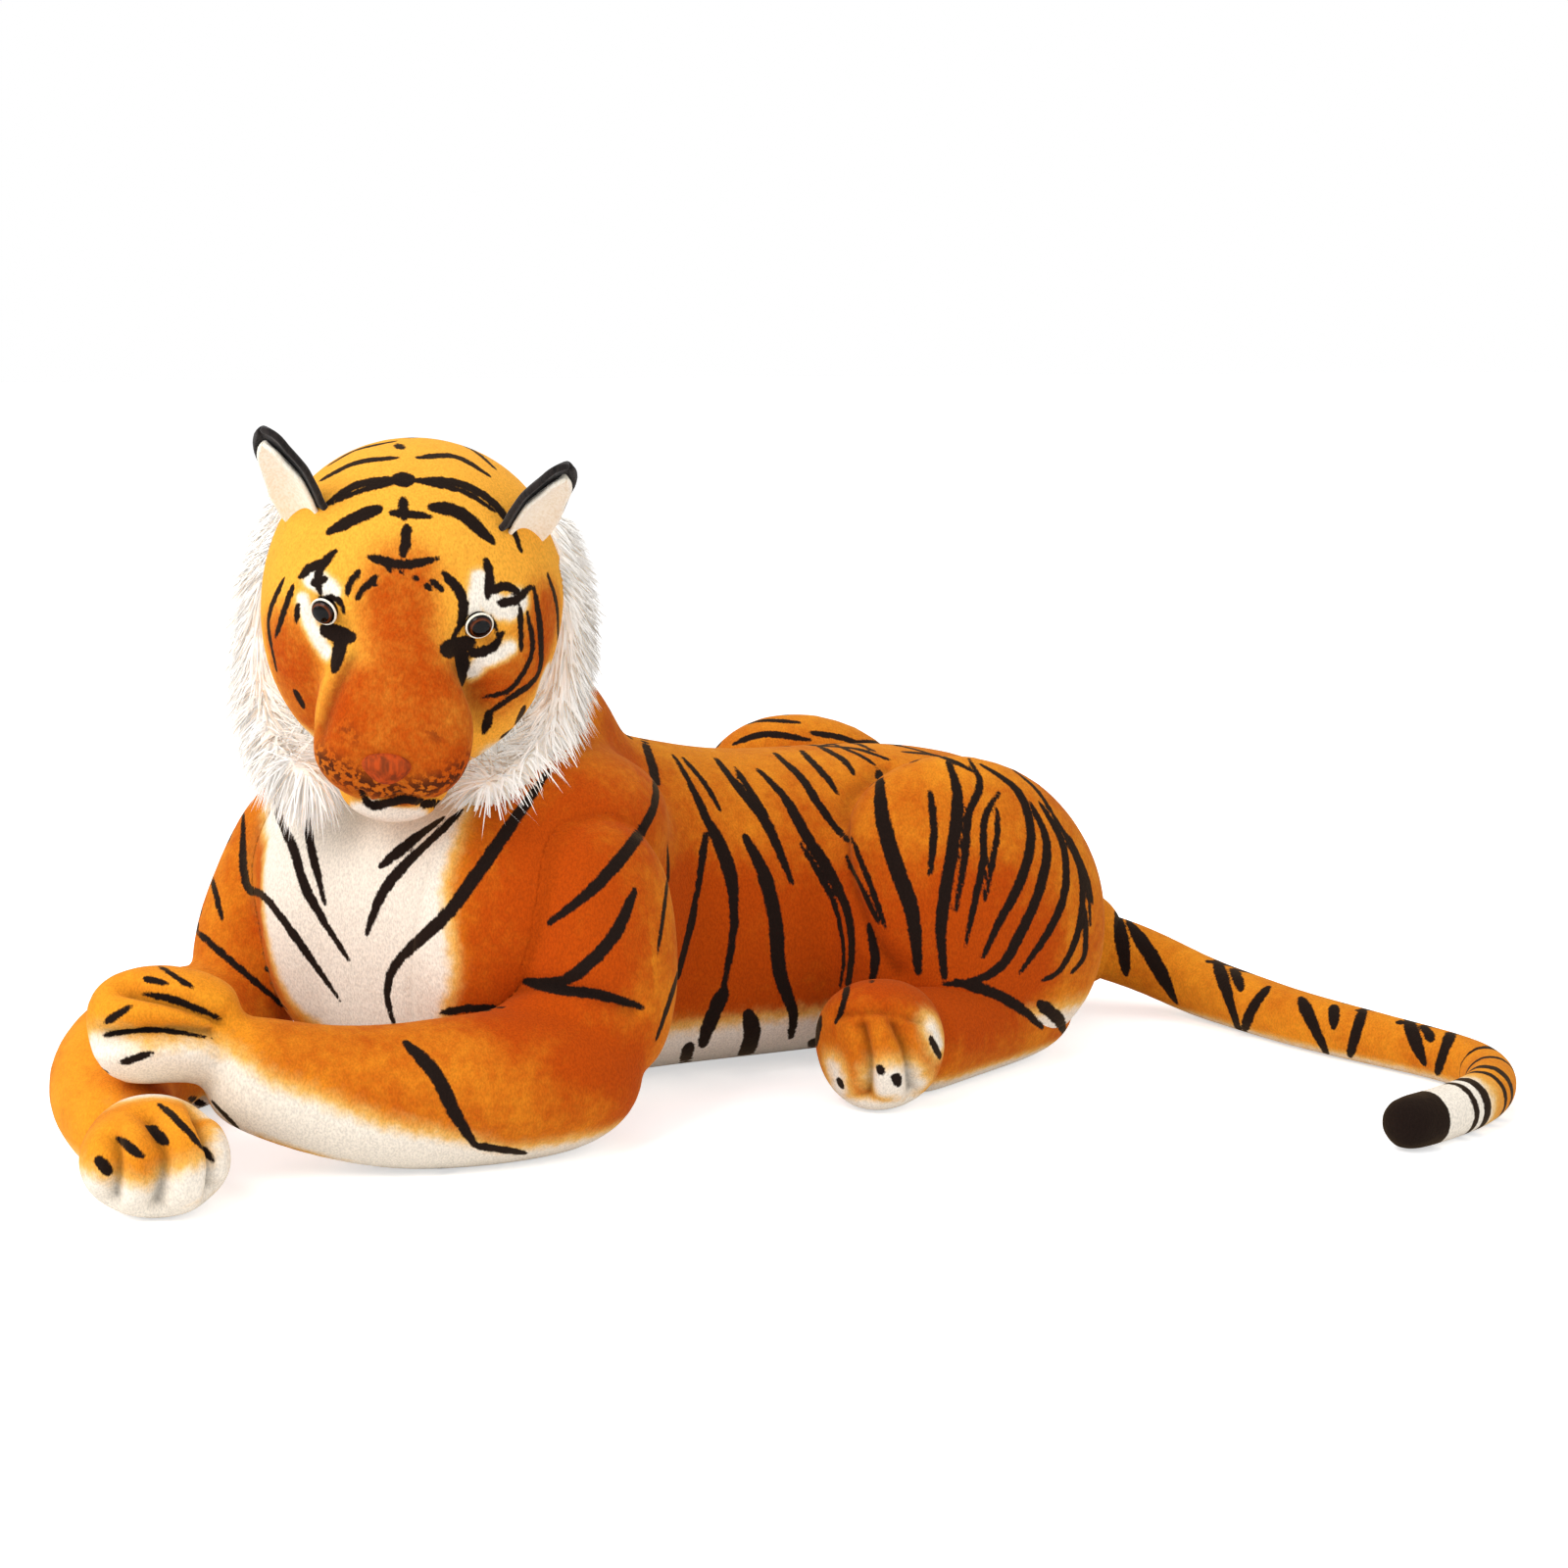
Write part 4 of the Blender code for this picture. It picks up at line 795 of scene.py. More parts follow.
def fuse(name: str, forms: list, voxel: float, smooth: int, levels: int = 1) -> bpy.types.Object:
    """Grow several closed forms into one even skin with soft valleys.

    Args:
        name: name of the skin.
        forms: closed objects, removed afterwards.
        voxel: edge of the remesh grid in metres.
        smooth: rounds of smoothing.
        levels: subdivisions at the end.

    Returns:
        The fused skin.
    """
    obj = made(name, *joined(*forms))
    for form in forms:
        mesh = form.data
        bpy.data.objects.remove(form, do_unlink=True)
        bpy.data.meshes.remove(mesh)
    modify(obj, "REMESH", mode="VOXEL", voxel_size=voxel)
    modify(obj, "SMOOTH", iterations=smooth, factor=0.5)
    return rounded(obj, levels) if levels else bake(obj)


def soften(obj: bpy.types.Object, mask: np.ndarray, rounds: int) -> bpy.types.Object:
    """Smooth a skin where the mask is above zero.

    Args:
        obj: the skin.
        mask: 0 to 1 for each point.
        rounds: how often it is smoothed.

    Returns:
        The same object.
    """
    group = obj.vertex_groups.new(name="soft")
    for level in range(1, 11):
        rows = np.nonzero(np.round(mask * 10.0) == level)[0]
        if len(rows):
            group.add(rows.tolist(), level / 10.0, "REPLACE")
    bake(modify(obj, "SMOOTH", iterations=rounds, factor=0.5, vertex_group="soft"))
    obj.vertex_groups.clear()
    return obj


def gaps_to(points: np.ndarray, tree: BVHTree, reach: float = 0.2) -> tuple:
    """Signed distance of each point to a closed surface, and the way into it.

    Args:
        points: places as rows.
        tree: search tree of the surface.
        reach: how far to look, in metres.

    Returns:
        Distances, positive outside, and unit rows that point inwards.
    """
    outside = np.full(len(points), reach)
    inward = np.zeros((len(points), 3))
    for index, row in enumerate(points):
        near, normal, _, gap = tree.find_nearest(Vector(row), reach)
        if near is not None:
            outside[index] = math.copysign(gap, (Vector(row) - near).dot(normal))
            inward[index] = -normal
    return outside, inward


# Strokes


class Strokes:
    """Marks carried from the photograph's plane onto the skins, as samples in space."""

    def __init__(
        self, marks: tuple = (), tree: BVHTree = None, mirrored: bool = False, taper: bool = True
    ) -> None:
        """Start with no marks, or throw some onto a surface.

        Args:
            marks: (half width in mm, picture points) each.
            tree: search tree of the surface.
            mirrored: also add each mark on the other side of the spine.
            taper: let both ends run to a point.
        """
        self.points: list = []
        self.halves: list = []
        self.cast(marks, tree, mirrored, taper)

    @staticmethod
    def curve(knots: tuple, step: float = 2.0) -> list:
        """Smooth picture path through the knots.

        Args:
            knots: picture points.
            step: rough distance of its samples in pixels.

        Returns:
            Samples from the first knot to the last.
        """
        path = []
        for index in range(len(knots) - 1):
            before = Vector(knots[max(index - 1, 0)])
            start, end = Vector(knots[index]), Vector(knots[index + 1])
            after = Vector(knots[min(index + 2, len(knots) - 1)])
            count = max(2, int((end - start).length / step))
            for number in range(count + (index == len(knots) - 2)):
                t = number / count
                bend = (2.0 * before - 5.0 * start + 4.0 * end - after) * t * t
                twist = (3.0 * start - before - 3.0 * end + after) * t * t * t
                path.append(0.5 * (2.0 * start + (end - before) * t + bend + twist))
        return path

    def cast(self, marks: tuple, tree: BVHTree, mirrored: bool = False, taper: bool = True) -> None:
        """Throw marks onto a surface.

        Args:
            marks: (half width in mm, picture points) each.
            tree: the surface.
            mirrored: also add each mark on the other side of the spine, where it is unseen.
            taper: let both ends run to a point.
        """
        eye = VIEW.place()
        for half, knots in marks:
            path = self.curve(knots)
            hits, shares = [], []
            for number, place in enumerate(path):
                found = tree.ray_cast(eye, VIEW.ray(place.x, place.y))[0]
                if found is not None:
                    hits.append(tuple(found))
                    shares.append(number / max(len(path) - 1, 1))
            if hits:
                self.add(np.array(hits), half, np.array(shares), taper)
                if mirrored:
                    self.add_unseen(SPINE.mirror(np.array(hits)), half, shares, tree, 0.12, taper)

    def add_unseen(
        self,
        rows: np.ndarray,
        half: float,
        shares: list,
        tree: BVHTree,
        limit: float,
        taper: bool = True,
        reach: float = 0.05,
    ) -> None:
        """Add the samples of a mark that the photograph doesn't show.

        Args:
            rows: places near the surface.
            half: half width in millimetres.
            shares: share of the mark's length at each place.
            tree: the surface.
            limit: cosine to the camera above which a place counts as seen.
            taper: let both ends run to a point.
            reach: how far from the surface a place may be, in metres.
        """
        kept = []
        for row, share in zip(rows, shares):
            near, normal, _, _ = tree.find_nearest(Vector(row), reach)
            if near is not None and normal.dot((VIEW.place() - near).normalized()) < limit:
                kept.append((*near, share))
        if kept:
            found = np.array(kept)
            self.add(found[:, :3], half, found[:, 3], taper)

    def add(self, rows: np.ndarray, half: float, shares: np.ndarray, taper: bool = True) -> None:
        """Add samples of one mark with its width along it.

        Args:
            rows: places in metres.
            half: half width in mm.
            shares: share of the mark's length at each place.
            taper: let both ends run to a point.
        """
        widths = np.full(len(rows), half * MM)
        if taper:
            ends = np.minimum(shares / 0.22, (1.0 - shares) / 0.35)
            widths *= 0.4 + 0.6 * np.clip(ends, 0.0, 1.0) ** 0.7
        self.points.append(rows)
        self.halves.append(widths)

    def distance(self, points: np.ndarray, reach: float = 0.06) -> np.ndarray:
        """Distance of each point to the edge of the nearest mark, negative inside it.

        Args:
            points: rows of positions.
            reach: value given to points that are far from every mark.

        Returns:
            One distance per row in metres.
        """
        result = np.full(len(points), reach)
        if not self.points:
            return result
        samples = np.vstack(self.points).astype(np.float32)
        halves = np.concatenate(self.halves).astype(np.float32)
        rows = points.astype(np.float32)
        order = np.argsort(rows[:, 1])
        for start in range(0, len(rows), 2000):
            picked = order[start : start + 2000]
            block = rows[picked]
            low, high = block.min(0) - reach, block.max(0) + reach
            near = np.all((samples > low) & (samples < high), axis=1)
            if near.any():
                pool = samples[near]
                square = (block**2).sum(1)[:, None] + (pool**2).sum(1)[None] - 2.0 * block @ pool.T
                gap = np.sqrt(np.maximum(square, 0.0)) - halves[near]
                result[picked] = np.minimum(gap.min(1), reach)
        return result


def crease(obj: bpy.types.Object, creases: list, tree: BVHTree) -> None:
    """Draw the skin in along sewn lines, as pulled thread does, and store painted shade along each crease
    by its depth.

    Args:
        obj: the skin.
        creases: (half width in mm, depth in mm, picture points) each.
        tree: search tree of the surface that the lines fall on.
    """
    points, normals = get_points(obj), get_normals(obj)
    crease_shade = np.zeros(len(points))
    for half, depth, knots in creases:
        gap = Strokes(((0.0, knots),), tree, taper=False).distance(points) / MM
        points -= normals * (depth * MM * np.exp(-((gap / half) ** 2)))[:, None]
        # painted shade: darker along each crease, the deeper the crease the darker
        crease_shade = np.maximum(crease_shade, min(depth / 8.0, 1.0) * np.exp(-((gap / (half * 0.55)) ** 2)))
    set_points(obj, points)
    add_float(obj, "crease_shade", crease_shade)


# Finishes


def linear(red: float, green: float, blue: float) -> tuple:
    """Scene colour of an 8-bit display colour.

    Args:
        red: 0 to 255.
        green: 0 to 255.
        blue: 0 to 255.

    Returns:
        The colour for a shader's socket.
    """
    channels = []
    for value in (red, green, blue):
        share = value / 255.0
        channels.append(share / 12.92 if share <= 0.04045 else ((share + 0.055) / 1.055) ** 2.4)
    return (*channels, 1.0)


class Nodes:
    """Short hand for building the node tree of a material or world."""

    def __init__(self, owner: bpy.types.ID) -> None:
        """Switch on the nodes of a material or the world.

        Args:
            owner: material or world.
        """
        owner.use_nodes = True
        self.owner = owner
        self.tree = owner.node_tree
        self.shader = self.tree.nodes.get("Principled BSDF")

    @classmethod
    def material(cls, name: str, **sockets: object) -> "Nodes":
        """Nodes of a new material, with sockets of its shader set by their names.

        Args:
            name: name of the material.
            **sockets: values by name, with _ for a space.

        Returns:
            The nodes, whose owner is the material.
        """
        made_nodes = cls(bpy.data.materials.new(name))
        for key, value in sockets.items():
            made_nodes.shader.inputs[key.replace("_", " ")].default_value = value
        return made_nodes

    def node(self, kind: str, **settings: object) -> bpy.types.Node:
        """Add a node with its settings.

        Args:
            kind: type of the node, without ShaderNode.
            **settings: its properties.

        Returns:
            The node.
        """
        node = self.tree.nodes.new("ShaderNode" + kind)
        for key, value in settings.items():
            setattr(node, key, value)
        return node

    def feed(self, socket: bpy.types.NodeSocket, value: object) -> None:
        """Link a socket to another one, or set its value.

        Args:
            socket: input of a node.
            value: output of another one, or a value.
        """
        if isinstance(value, bpy.types.NodeSocket):
            self.tree.links.new(value, socket)
        else:
            socket.default_value = value

    def attribute(self, name: str) -> bpy.types.NodeSocket:
        """A number stored on the vertices."""
        return self.node("Attribute", attribute_name=name).outputs["Fac"]

    def noise(self, scale: float, detail: float, stretch: tuple = (1.0, 1.0, 1.0)) -> bpy.types.NodeSocket:
        """Noise over the object's own coordinates.

        Args:
            scale: scale of the noise.
            detail: its octaves.
            stretch: scale along each axis.

        Returns:
            A number from 0 to 1.
        """
        mapping, noise = self.node("Mapping"), self.node("TexNoise")
        self.feed(mapping.inputs["Scale"], stretch)
        self.feed(mapping.inputs["Vector"], self.node("TexCoord").outputs["Object"])
        self.feed(noise.inputs["Scale"], scale)
        self.feed(noise.inputs["Detail"], detail)
        self.feed(noise.inputs["Vector"], mapping.outputs["Vector"])
        return noise.outputs["Fac"]

    def math(self, operation: str, first: object, second: object = 0.0) -> bpy.types.NodeSocket:
        """Arithmetic on sockets or numbers.

        Args:
            operation: which one, as the node names it.
            first: socket or number.
            second: the same.

        Returns:
            The result.
        """
        node = self.node("Math", operation=operation)
        self.feed(node.inputs[0], first)
        self.feed(node.inputs[1], second)
        return node.outputs[0]

    def spread(
        self, noise: bpy.types.NodeSocket, reach: float, base: bpy.types.NodeSocket
    ) -> bpy.types.NodeSocket:
        """A number with noise about its middle added."""
        return self.math("ADD", base, self.math("MULTIPLY", self.math("SUBTRACT", noise, 0.5), reach))

    def remap(
        self, value: bpy.types.NodeSocket, low: float, high: float, start: float = 0.0, end: float = 1.0
    ) -> bpy.types.NodeSocket:
        """Smooth map of a range.

        Args:
            value: number to map.
            low: where its range starts.
            high: where its range ends.
            start: result at the low end.
            end: result at the high end.

        Returns:
            The mapped number.
        """
        node = self.node("MapRange", interpolation_type="SMOOTHSTEP")
        for key, number in (("From Min", low), ("From Max", high), ("To Min", start), ("To Max", end)):
            self.feed(node.inputs[key], number)
        self.feed(node.inputs["Value"], value)
        return node.outputs["Result"]

    def mix(self, share: object, first: object, second: object, blend: str = "MIX") -> bpy.types.NodeSocket:
        """Blend of two colours.

        Args:
            share: share of the second colour.
            first: socket or colour.
            second: the same.
            blend: way to mix, as the node names it.

        Returns:
            The mixed colour.
        """
        node = self.node("Mix", data_type="RGBA", blend_type=blend)
        for number, value in ((0, share), (6, first), (7, second)):
            self.feed(node.inputs[number], value)
        return node.outputs[2]

    def bump(
        self, height: bpy.types.NodeSocket, strength: float, distance: float, below: object = None
    ) -> bpy.types.NodeSocket:
        """Relief from a height.

        Args:
            height: how high each place is.
            strength: share of the relief that counts.
            distance: height of the relief in metres.
            below: normal of the relief that it lies on.

        Returns:
            The new normal.
        """
        node = self.node("Bump")
        self.feed(node.inputs["Strength"], strength)
        self.feed(node.inputs["Distance"], distance)
        self.feed(node.inputs["Height"], height)
        if below is not None:
            self.feed(node.inputs["Normal"], below)
        return node.outputs["Normal"]

    def seen(self) -> bpy.types.NodeSocket:
        """1 on rays of the camera, of reflections and through glass, otherwise 0.

        Returns:
            The number.
        """
        path = self.node("LightPath").outputs
        shown = self.math("MAXIMUM", path["Is Camera Ray"], path["Is Glossy Ray"])
        return self.math("MAXIMUM", shown, path["Is Transmission Ray"])


@dataclass(frozen=True)
class Plush:
    """Short pile cloth in orange, pale and stripe colours, by the vertex numbers."""

    name: str
    yellow: tuple = linear(238, 152, 36)
    deep: tuple = linear(182, 70, 5)
    straw: tuple = linear(238, 186, 96)
    pale: tuple = linear(244, 234, 219)
    stripe: tuple = linear(30, 20, 16)
    speck: tuple = linear(74, 34, 16)
    sheen_tint: tuple = (1.0, 0.62, 0.22, 1.0)
    pile_scale: float = 900.0
    clump_scale: float = 170.0
    patch_scale: float = 28.0
    sheen: float = 0.10

    def material(self) -> bpy.types.Material:
        """Build the material.

        Returns:
            The new material.
        """
        n = Nodes.material(
            self.name,
            Roughness=0.95,
            Specular_IOR_Level=0.08,
            Sheen_Weight=self.sheen,
            Sheen_Roughness=0.4,
            Sheen_Tint=self.sheen_tint,
        )
        patch = n.noise(self.patch_scale, 3.0)
        clump = n.noise(self.clump_scale, 3.0)
        pile = n.noise(self.pile_scale, 2.0, (1.0, 1.0, 0.55))
        tone = n.spread(clump, 0.4, n.spread(patch, 0.7, n.attribute("tone")))
        colour = n.mix(n.remap(tone, 0.0, 1.0), self.yellow, self.deep)
        pale = n.spread(clump, 0.35, n.attribute("pale"))
        colour = n.mix(n.remap(pale, 0.05, 0.55), colour, self.straw)
        colour = n.mix(n.remap(pale, 0.35, 0.80), colour, self.pale)
        speck = n.math("MULTIPLY", n.attribute("speck"), n.remap(clump, 0.47, 0.53))
        colour = n.mix(speck, colour, self.speck)
        edge = n.spread(pile, 1.6, n.spread(clump, 2.4, n.attribute("stripe")))
        colour = n.mix(n.remap(edge, -0.6, 0.7, 1.0, 0.0), colour, self.stripe)
        # painted shade: colour darkened along the creases
        crease_shade = n.math("MULTIPLY", n.attribute("crease_shade"), 0.55)
        shade = n.math("MULTIPLY", n.remap(pile, 0.28, 0.7, 0.80, 1.05), n.math("SUBTRACT", 1.0, crease_shade))
        grey = n.node("CombineColor")
        for channel in ("Red", "Green", "Blue"):
            n.feed(grey.inputs[channel], shade)
        n.feed(n.shader.inputs["Base Color"], n.mix(1.0, colour, grey.outputs["Color"], "MULTIPLY"))
        relief = n.bump(clump, 0.30, 2.0 * MM)
        n.feed(n.shader.inputs["Normal"], n.bump(pile, 0.40, 0.7 * MM, relief))
        return n.owner


@dataclass(frozen=True)
class PileCloth:
    """Pile cloth of two close colours."""

    name: str
    light: tuple
    dark: tuple
    scale: float
    sheen: float

    def material(self) -> bpy.types.Material:
        """Build the material.

        Returns:
            The new material.
        """
        n = Nodes.material(self.name, Roughness=0.9, Specular_IOR_Level=0.15, Sheen_Weight=self.sheen)
        streak = n.noise(self.scale, 4.0, (1.0, 1.0, 0.25))
        n.feed(n.shader.inputs["Base Color"], n.mix(n.remap(streak, 0.3, 0.65), self.dark, self.light))
        n.feed(n.shader.inputs["Normal"], n.bump(streak, 0.5, 1.0 * MM))
        return n.owner


@dataclass(frozen=True)
class LockFibre:
    """Thin white fibre: its colour, and painted light, an emission that stands in for the light reaching it
    through the fibres around it.
    """

    name: str
    colour: tuple
    painted_glow: float

    def material(self) -> bpy.types.Material:
        """Build the material.

        Returns:
            The new material.
        """
        return Nodes.material(
            self.name,
            Base_Color=self.colour,
            Roughness=0.8,
            Specular_IOR_Level=0.2,
            Subsurface_Weight=0.4,
            Subsurface_Radius=(1.0, 1.0, 1.0),
            Subsurface_Scale=3.0 * MM,
            Emission_Color=self.colour,
            # painted light: the fibre emits light in its own colour to look brighter
            Emission_Strength=self.painted_glow,
        ).owner


@dataclass(frozen=True)
class EyePlastic:
    """Clear domed eye with a painted iris and pupil behind it."""

    pupil: tuple = linear(6, 5, 5)
    # Where each ring starts and ends to show, as a share of the radius, and its colour
    rings: tuple = (
        (0.70, 0.76, linear(96, 46, 18)),
        (0.78, 0.88, linear(60, 26, 10)),
        (0.88, 0.93, linear(8, 6, 6)),
    )

    def material(self) -> bpy.types.Material:
        """Build the material.

        Returns:
            The new material.
        """
        n = Nodes.material(
            "eye_plastic", Roughness=0.5, Specular_IOR_Level=0.0, Coat_Weight=0.3, Coat_Roughness=0.04
        )
        out, colour = n.attribute("ring"), self.pupil
        for start, end, tint in self.rings:
            colour = n.mix(n.remap(out, start, end), colour, tint)
        n.feed(n.shader.inputs["Base Color"], colour)
        return n.owner


class Wardrobe:
    """The finishes that the pieces share."""

    def __init__(self) -> None:
        """Build each material once."""
        self.plush = Plush("plush").material()
        self.head = Plush("head_plush", yellow=linear(246, 172, 58), clump_scale=240.0).material()
        cream, shadow = linear(252, 246, 232), linear(240, 229, 206)
        self.inner = PileCloth("ear_inner", cream, shadow, 700.0, 0.3).material()
        coal, soot = linear(38, 32, 30), linear(14, 12, 12)
        self.black = PileCloth("black_pile", coal, soot, 600.0, 0.15).material()
        brick, rust = linear(186, 72, 22), linear(124, 52, 20)
        self.nose = PileCloth("nose_cloth", brick, rust, 300.0, 0.0).material()
        self.eye = EyePlastic().material()
        bright, dull = linear(250, 248, 244), linear(230, 224, 214)
        self.strand = PileCloth("strand", bright, dull, 200.0, 0.0).material()
        # each lock tint with the strength of its painted light, an emission
        tints = ((252, 247, 240), 0.34), ((247, 236, 223), 0.24), ((232, 213, 192), 0.14)
        self.hairs = tuple(
            LockFibre("lock_%d" % number, linear(*tint), painted_glow).material()
            for number, (tint, painted_glow) in enumerate(tints)
        )


def finish_piece(
    obj: bpy.types.Object, materials: object, slot: str, body: str, *nodes: str, fill: float = 0.0
) -> None:
    """Give a piece its materials and smooth shading, hide the solids that it stands for, and hang it on its
    body.

    Args:
        obj: the piece.
        materials: its material, or a tuple of them.
        slot: name of its material slot, not used.
        body: body that it rides on, or nothing.
        nodes: solids that it stands for.
        fill: share of its inside that is stuffed, not used.
    """
    for material in materials if isinstance(materials, tuple) else (materials,):
        obj.data.materials.append(material)
    obj.data.shade_smooth()
    if nodes:
        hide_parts(*nodes)
    if body:
        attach(obj, body)


# Trunk


@dataclass
class Trunk:
    """Torso with both haunches and the neck, one stuffed skin.

    A row of the torso or haunch holds shares of the reach, half width, top and bottom. A row of
    the neck holds its height, half width and reach to front and back, and a mass its place in the
    chest's frame and its half sizes, all in millimetres.
    """

    chest_reach: float = 235.0 * MM
    rump_reach: float = 366.0 * MM
    half_width: float = 104.0 * MM
    height: float = 206.0 * MM
    torso_rows: tuple = (
        (-1.00, 0.36, 0.80, 0.34), (-0.93, 0.64, 0.95, 0.17), (-0.77, 0.85, 1.08, 0.05),
        (-0.55, 0.93, 1.15, 0.01), (-0.28, 0.95, 1.15, 0.00), (0.00, 0.96, 1.08, 0.00),
        (0.17, 0.98, 1.00, 0.00), (0.36, 1.00, 1.00, 0.00), (0.55, 1.00, 0.995, 0.00),
        (0.73, 0.92, 0.93, 0.00), (0.88, 0.72, 0.76, 0.03), (0.975, 0.42, 0.50, 0.10),
    )
    haunch_spread: float = 116.0 * MM
    haunch_reach: float = 199.0 * MM
    haunch_half_width: float = 58.0 * MM
    haunch_half_length: float = 98.0 * MM
    haunch_height: float = 224.0 * MM
    haunch_rows: tuple = (
        (-1.00, 0.30, 0.74, 0.34), (-0.84, 0.72, 0.91, 0.16), (-0.45, 0.97, 1.00, 0.03),
        (0.05, 1.00, 0.99, 0.00), (0.52, 0.88, 0.90, 0.04), (0.86, 0.56, 0.72, 0.16),
        (1.00, 0.26, 0.56, 0.30),
    )
    neck_rows: tuple = (
        (185.0, 70.0, -80.0, 100.0), (212.0, 74.0, -82.0, 122.0), (236.0, 73.0, -80.0, 107.0),
        (262.0, 68.0, -76.0, 85.0), (290.0, 56.0, -66.0, 54.0),
    )
    masses: tuple = (
        ((60.0, -74.0, 122.0), (50.0, 46.0, 88.0)), ((88.0, -28.0, 138.0), (50.0, 78.0, 78.0)),
        ((78.0, 34.0, 118.0), (44.0, 92.0, 84.0)), ((78.0, -6.0, 184.0), (60.0, 72.0, 50.0)),
    )
    # Exponents of the torso's upper and lower half, 1 is an oval
    corner: float = 0.92
    belly: float = 0.45
    # Where the shoulder is smoothed into the back, in the chest's frame, and where that ends
    shoulder: tuple = (84.0, 10.0, 186.0)
    shoulder_reach: tuple = (0.060, 0.110)
    shoulder_rounds: int = 40
    neck_start: tuple = (0.0, 0.030, 0.218)
    neck_end: tuple = (0.0, -0.006, 0.262)
    voxel: float = 5.0 * MM
    rounds: int = 16
    skin: bpy.types.Object = None

    def torso(self) -> bpy.types.Object:
        """Torso form along the curved spine.

        Returns:
            The form.
        """
        rings = []
        for along, width, top, bottom in self.torso_rows:
            place, turn = SPINE.at(along * (self.chest_reach if along < 0.0 else self.rump_reach))
            side = Vector((math.cos(turn), math.sin(turn), 0.0))
            rings.append(upright(place, side, width * self.half_width, top, bottom, self.height))
        return on_floor(loft("torso", rings, 10, self.corner, self.belly))

    def haunch(self, side: Side) -> bpy.types.Object:
        """One thigh.

        Args:
            side: side of the body.

        Returns:
            The form.
        """
        rings = []
        for along, width, top, bottom in self.haunch_rows:
            back = self.haunch_reach + along * self.haunch_half_length
            place = Vector((side.sign * self.haunch_spread, back, 0.0))
            half = width * self.haunch_half_width
            rings.append(upright(place, ACROSS, half, top, bottom, self.haunch_height))
        return on_floor(loft("haunch", rings, 8))

    def neck(self) -> bpy.types.Object:
        """Neck column that rises into the skull.

        Returns:
            The form.
        """
        front, rings = SPINE.front(), []
        for height, half, fore, back in self.neck_rows:
            middle = front @ Vector((0.0, (fore + back) / 2.0 * MM, height * MM))
            across, along = front.to_3x3() @ ACROSS, front.to_3x3() @ AHEAD
            rings.append(Ring(middle, across, along, half * MM, (back - fore) / 2.0 * MM))
        return loft("neck", rings, 12)

    def chest_masses(self) -> list:
        """Breast and shoulder muscles on both sides.

        Returns:
            The forms.
        """
        front, forms = SPINE.front(), []
        for (across, back, up), halves in self.masses:
            for side in Side:
                centre = front @ Vector((side.sign * across * MM, back * MM, up * MM))
                forms.append(egg("mass", centre, tuple(half * MM for half in halves), front))
        return forms

    def build(self) -> None:
        """Fuse all forms, and smooth the shoulders into the back."""
        forms = [self.torso(), *map(self.haunch, Side), self.neck(), *self.chest_masses()]
        self.skin = fuse("trunk_skin", forms, self.voxel, self.rounds, 0)
        local = into(SPINE.front(), get_points(self.skin))
        local[:, 0] = np.abs(local[:, 0])
        gap = np.linalg.norm(local - np.array(self.shoulder) * MM, axis=1)
        soften(self.skin, 1.0 - smoothstep(gap, *self.shoulder_reach), self.shoulder_rounds)
        rest_on_floor(rounded(self.skin))

    def dress(self, wardrobe: Wardrobe) -> None:
        """Finish it.

        Args:
            wardrobe: all materials.
        """
        nodes = ["torso_skin", "belly_panel", "chest_bib", "torso_filling"]
        nodes += ["haunch_%s_%s" % (kind, side.value) for kind in ("skin", "filling") for side in Side]
        finish_piece(self.skin, wardrobe.plush, "orange_plush", "", *nodes, "neck", fill=0.9)
        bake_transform(self.skin)


# Legs


